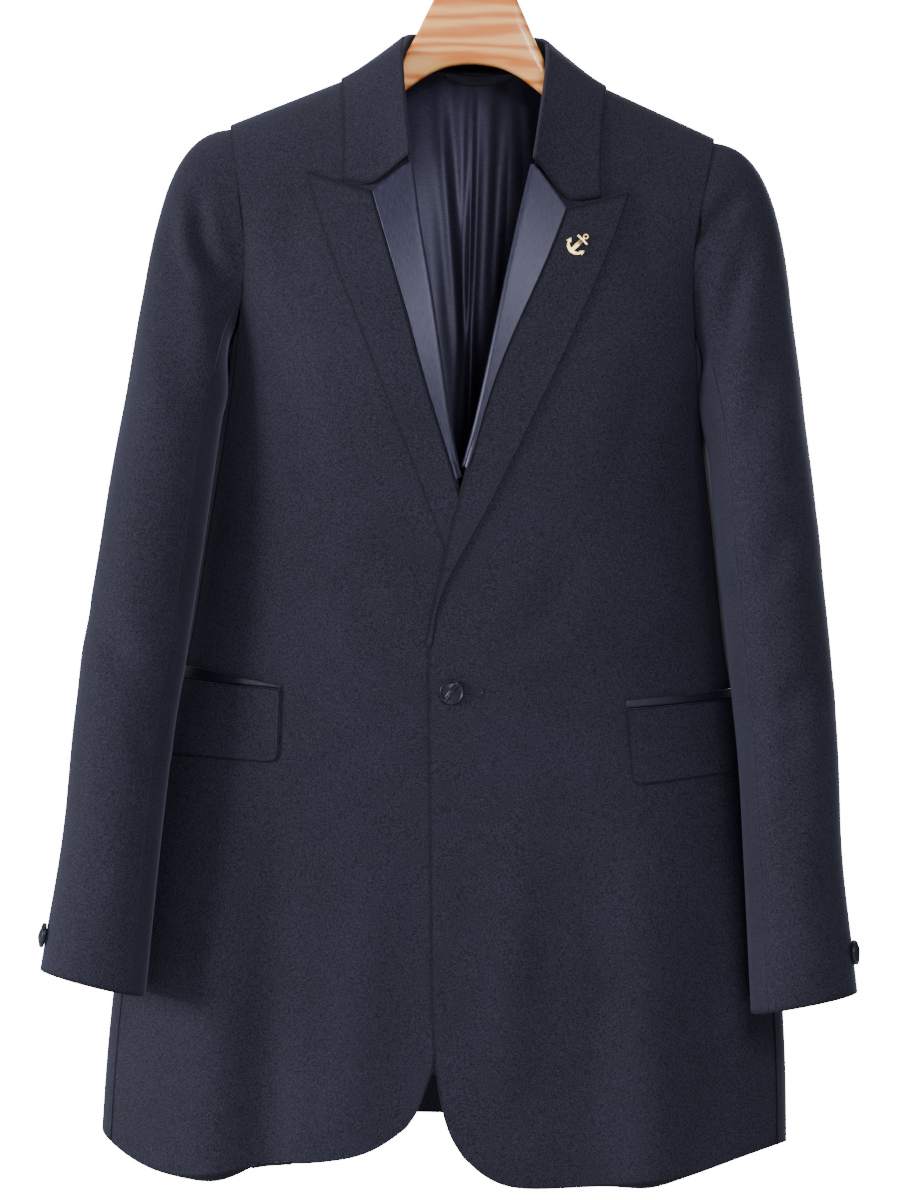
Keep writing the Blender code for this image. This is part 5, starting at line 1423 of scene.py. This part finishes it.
# Steel hook with its turned ferrule
hook = {
    "radius": 21,
    "wire": 2.0,
    "woodTop": -64.9,
    "sides": 20,
    "ferrule": rows(
        "wide z",
        (5.2, 0.3), (5.6, 0.6), (5.6, 1.3), (5.1, 1.8), (4.0, 2.2), (3.3, 2.7), (2.6, 3.1),
    ),
}


def hookPath():
    centre = Vector((0, 0, -hook["radius"]))
    ring = hook["radius"] + hook["wire"]
    path = [Vector((0, 0, hook["woodTop"] + 3.2)), Vector((0, 0, -58)), Vector((0.6, 0, -53))]
    path += [Vector((3.5, 0, -47.5)), Vector((9.5, 0, -43.2))]
    for degrees in range(-50, 201, 14):
        a = math.radians(degrees)
        path.append(centre + Vector((ring * math.cos(a), 0, ring * math.sin(a))))
    return path


def hookRings():
    rings = []
    for row in hook["ferrule"]:
        turns = np.arange(hook["sides"]) * 2 * math.pi / hook["sides"]
        z = hook["woodTop"] + row["z"]
        rings.append([Vector((math.sin(t) * -row["wide"], math.cos(t) * row["wide"], z)) for t in turns])
    fine = [Vector(p) for p in resample(np.array(hookPath()), 90)]
    for i, at in enumerate(fine):
        ahead = (fine[min(i + 1, len(fine) - 1)] - fine[max(i - 1, 0)]).normalized()
        level = Vector((0, 1, 0))
        up = level.cross(ahead)
        left = (len(fine) - 1 - i) / 2
        wide = hook["wire"] * (1.0 if left > 1 else math.sqrt(max(1 - (1 - left) ** 2, 0.05)))
        turns = np.arange(hook["sides"]) * 2 * math.pi / hook["sides"]
        rings.append([at + (level * math.cos(t) + up * math.sin(t)) * wide for t in turns])
    return rings


finished(skinThrough("hangerHook", hookRings(), 1), "steel", "hanger_hook")
print("hanger and hook")

# Gold pin on the left lapel: a plain anchor with rounded edges
pin = {
    "half": (
        (0.9, 6.1), (1.1, 5.4), (5.3, 5.5), (5.3, 3.6), (1.4, 3.6), (1.9, -1.2), (1.6, -6.5), (3.4, -5.9),
        (5.4, -4.3), (4.3, -3.6), (7.6, -0.4), (8.4, -5.0), (7.3, -4.5), (6.2, -6.9), (3.7, -9.0),
        (0.0, -10.3),
    ),
    "ring": {"y": 8.3, "out": 2.3, "in": 1.15},
    "thick": 1.4,
    "round": 0.35,
    "x": 84.9,
    "z": -269.3,
    "turn": -45,
}


def anchorPin(name, surface):
    ring = pin["ring"]
    arc = np.radians((90, 75, 60, 45, 30, 15, 0, -15, -30, -48, -65))
    right = [(ring["out"] * math.cos(a), ring["y"] + ring["out"] * math.sin(a)) for a in arc]
    right += pin["half"]
    left = [(-x, y) for x, y in right[-2:0:-1]]
    turns = np.linspace(0, 2 * math.pi, 25)[:-1]
    hole = [(ring["in"] * math.cos(a), ring["y"] + ring["in"] * math.sin(a)) for a in turns]
    curve = bpy.data.curves.new(name, "CURVE")
    curve.dimensions = "2D"
    curve.fill_mode = "BOTH"
    curve.extrude = pin["thick"] / 2 - pin["round"]
    curve.bevel_depth = pin["round"]
    curve.bevel_resolution = 3
    curve.offset = -pin["round"]
    for outline in (right + left, hole):
        spline = curve.splines.new("POLY")
        spline.points.add(len(outline) - 1)
        for point, (x, y) in zip(spline.points, outline):
            point.co = (x, y, 0, 1)
        spline.use_cyclic_u = True
    guide = linked(name + "Outline", curve)
    bpy.context.view_layer.update()
    mesh = bpy.data.meshes.new_from_object(guide.evaluated_get(bpy.context.evaluated_depsgraph_get()))
    bpy.data.objects.remove(guide, do_unlink=True)
    work = bmesh.new()
    work.from_mesh(mesh)
    bmesh.ops.remove_doubles(work, verts=work.verts, dist=0.001)
    bmesh.ops.recalc_face_normals(work, faces=work.faces)
    on = onFront(surface, pin["x"], pin["z"], 0)
    beside = onFront(surface, pin["x"] + 8, pin["z"], 0)
    above = onFront(surface, pin["x"], pin["z"] + 8, 0)
    out = Vector(beside - on).cross(Vector(above - on)).normalized()
    if out.y > 0:
        out = -out
    turn = math.radians(pin["turn"])
    level = Vector(beside - on).normalized()
    upright = out.cross(level).normalized()
    if upright.z < 0:
        upright = -upright
    across = level * math.cos(turn) + upright * math.sin(turn)
    along = upright * math.cos(turn) - level * math.sin(turn)
    base = Vector(on) + out * (pin["thick"] / 2 + 0.6)
    for vert in work.verts:
        # the middle of the anchor is a little fuller than its tips
        crown = 1 + 0.25 * math.exp(-((vert.co.x / 2.2) ** 2))
        vert.co = (base + across * vert.co.x + along * vert.co.y + out * vert.co.z * crown) * mm
    outward = [f.normal.dot(f.calc_center_median() / mm - base) * f.calc_area() for f in work.faces]
    if sum(outward) < 0:
        bmesh.ops.reverse_faces(work, faces=work.faces)
    work.to_mesh(mesh)
    work.free()
    mesh.shade_smooth()
    finished(linked(name, mesh), "gold", "lapel_pin")


anchorPin("lapelPin", surfaceOf([panels["wool", 1]]))
print("pin")

# Walls, finishes, and the cut of what shows of each sheet, in metres
cuts = rows(
    "node kind held rests wide long area",
    ("front_left", "wool", "hung", ["hangerWood"], 0.283, 0.913, 0.197),
    ("front_right", "wool", "hung", ["hangerWood"], 0.272, 0.891, 0.191),
    ("side_left", "wool", "hung", ["frontLeft", "backLeft"], 0.091, 0.645, 0.0355),
    ("side_right", "wool", "hung", ["frontRight", "backRight"], 0.091, 0.657, 0.0355),
    ("back_left", "wool", "hung", ["hangerWood"], 0.272, 0.874, 0.189),
    ("back_right", "wool", "hung", ["hangerWood"], 0.272, 0.874, 0.189),
    ("top_sleeve_left", "wool", "hung", ["frontLeft", "backLeft"], 0.242, 0.710, 0.0912),
    ("top_sleeve_right", "wool", "hung", ["frontRight", "backRight"], 0.242, 0.710, 0.0912),
    ("under_sleeve_left", "wool", "hung", ["topSleeveLeft"], 0.217, 0.656, 0.0849),
    ("under_sleeve_right", "wool", "hung", ["topSleeveRight"], 0.217, 0.656, 0.0849),
    ("collar", "wool", "folded", ["backLeft", "backRight"], 0.088, 0.508, 0.0341),
    ("lapel_satin_left", "satin", "folded", ["frontLeft"], 0.061, 0.248, 0.0077),
    ("lapel_satin_right", "satin", "folded", ["frontRight"], 0.056, 0.255, 0.0083),
    ("lapel_wool_left", "wool", "laid", ["frontLeft"], 0.054, 0.398, 0.0117),
    ("lapel_wool_right", "wool", "laid", ["frontRight"], 0.057, 0.405, 0.0117),
    ("pocket_flap_left", "wool", "hung", ["frontLeft"], 0.122, 0.062, 0.0071),
    ("pocket_flap_right", "wool", "hung", ["frontRight"], 0.124, 0.063, 0.0073),
    ("pocket_welt_left", "satin", "laid", ["frontLeft"], 0.122, 0.010, 0.0009),
    ("pocket_welt_right", "satin", "laid", ["frontRight"], 0.123, 0.0126, 0.0010),
    ("lining_back", "lining", "hung", ["backLeft", "backRight"], 0.485, 0.815, 0.309),
    ("hanger_loop", "satin", "laid", ["liningBack"], 0.068, 0.0106, 0.0005),
)
for row in cuts:
    first, *rest = row["node"].split("_")
    made = bpy.data.objects[first + "".join(part.capitalize() for part in rest) if rest else "collarPiece"]
    walled(made, liningCut["wall"] if row["node"] in ("lining_back", "hanger_loop") else bodyCut["wall"])
    # painted shade: the satin welts take the darker button satin, standing in for the shade of the pocket
    # openings
    look = "button" if row["node"].startswith("pocket_welt") else None
    finished(made, row["kind"], row["node"], look=look)
print("sheets:", len(cuts))

# The view of the photograph: level with the middle of the front, turned a little
camera = linked("camera", bpy.data.cameras.new("camera"))
camera.location = (-0.0074, -3.58, -0.550)
camera.rotation_euler = (math.radians(90), math.radians(-1.6), 0)
camera.data.lens = 134.6
camera.data.sensor_width = 36
bpy.context.scene.camera = camera

studio = {
    "background": (0.95, 0.95, 1.0),
    "light": 0.27,
    "seen": 16.0,
    "floor": -1.32,
    "lamps": rows(
        "name at aim size power",
        ("keyLamp", (-3.7, -1.9, 0.1), (0, 0, -0.5), 1.2, 150),
        ("frontLamp", (1.3, -3.7, 0.9), (0, 0, -0.4), 1.6, 70),
        ("sideLamp", (-3.4, -0.7, -0.3), (0, 0, -0.5), 1.2, 60),
        ("backLamp", (1.8, 3.6, 0.9), (0, 0, -0.5), 1.6, 60),
        ("topLamp", (-0.3, 0.4, 1.9), (0, 0, -0.3), 1.2, 20),
        ("glintLamp", (0.26, -1.9, 0.16), (0.03, 0, -0.1), 0.2, 9),
    ),
}
world = bpy.data.worlds.new("studioWorld")
bpy.context.scene.world = world
world.use_nodes = True
tree = world.node_tree
backdrop = tree.nodes["Background"]
settle(backdrop, {"Color": (*studio["background"], 1), "Strength": studio["light"]})
white = addNode(tree, "Background", {"Color": (1, 1, 1, 1), "Strength": studio["seen"]})
rays = addNode(tree, "LightPath", {})
shared = addNode(tree, "MixShader", {})
for k, output in enumerate((rays.outputs["Is Camera Ray"], backdrop.outputs[0], white.outputs[0])):
    tree.links.new(output, shared.inputs[k])
tree.links.new(shared.outputs[0], tree.nodes["World Output"].inputs["Surface"])
for lamp in studio["lamps"]:
    light = bpy.data.lights.new(lamp["name"], "AREA")
    light.shape = "DISK"
    light.size = lamp["size"]
    light.energy = lamp["power"]
    made = linked(lamp["name"], light)
    made.location = lamp["at"]
    toward = Vector(lamp["aim"]) - Vector(lamp["at"])
    made.rotation_euler = toward.to_track_quat("-Z", "Y").to_euler()

work = bmesh.new()
bmesh.ops.create_grid(work, x_segments=2, y_segments=2, size=2.0)
bmesh.ops.translate(work, verts=work.verts, vec=(0, 0, studio["floor"]))
floor = meshed(work, "floor")
paint, _, shader = shaderTree("floorPaint")
settle(shader, {"Base Color": (0.86, 0.86, 0.87, 1), "Roughness": 0.9})
floor.data.materials.append(paint)
print("camera, lights and floor")
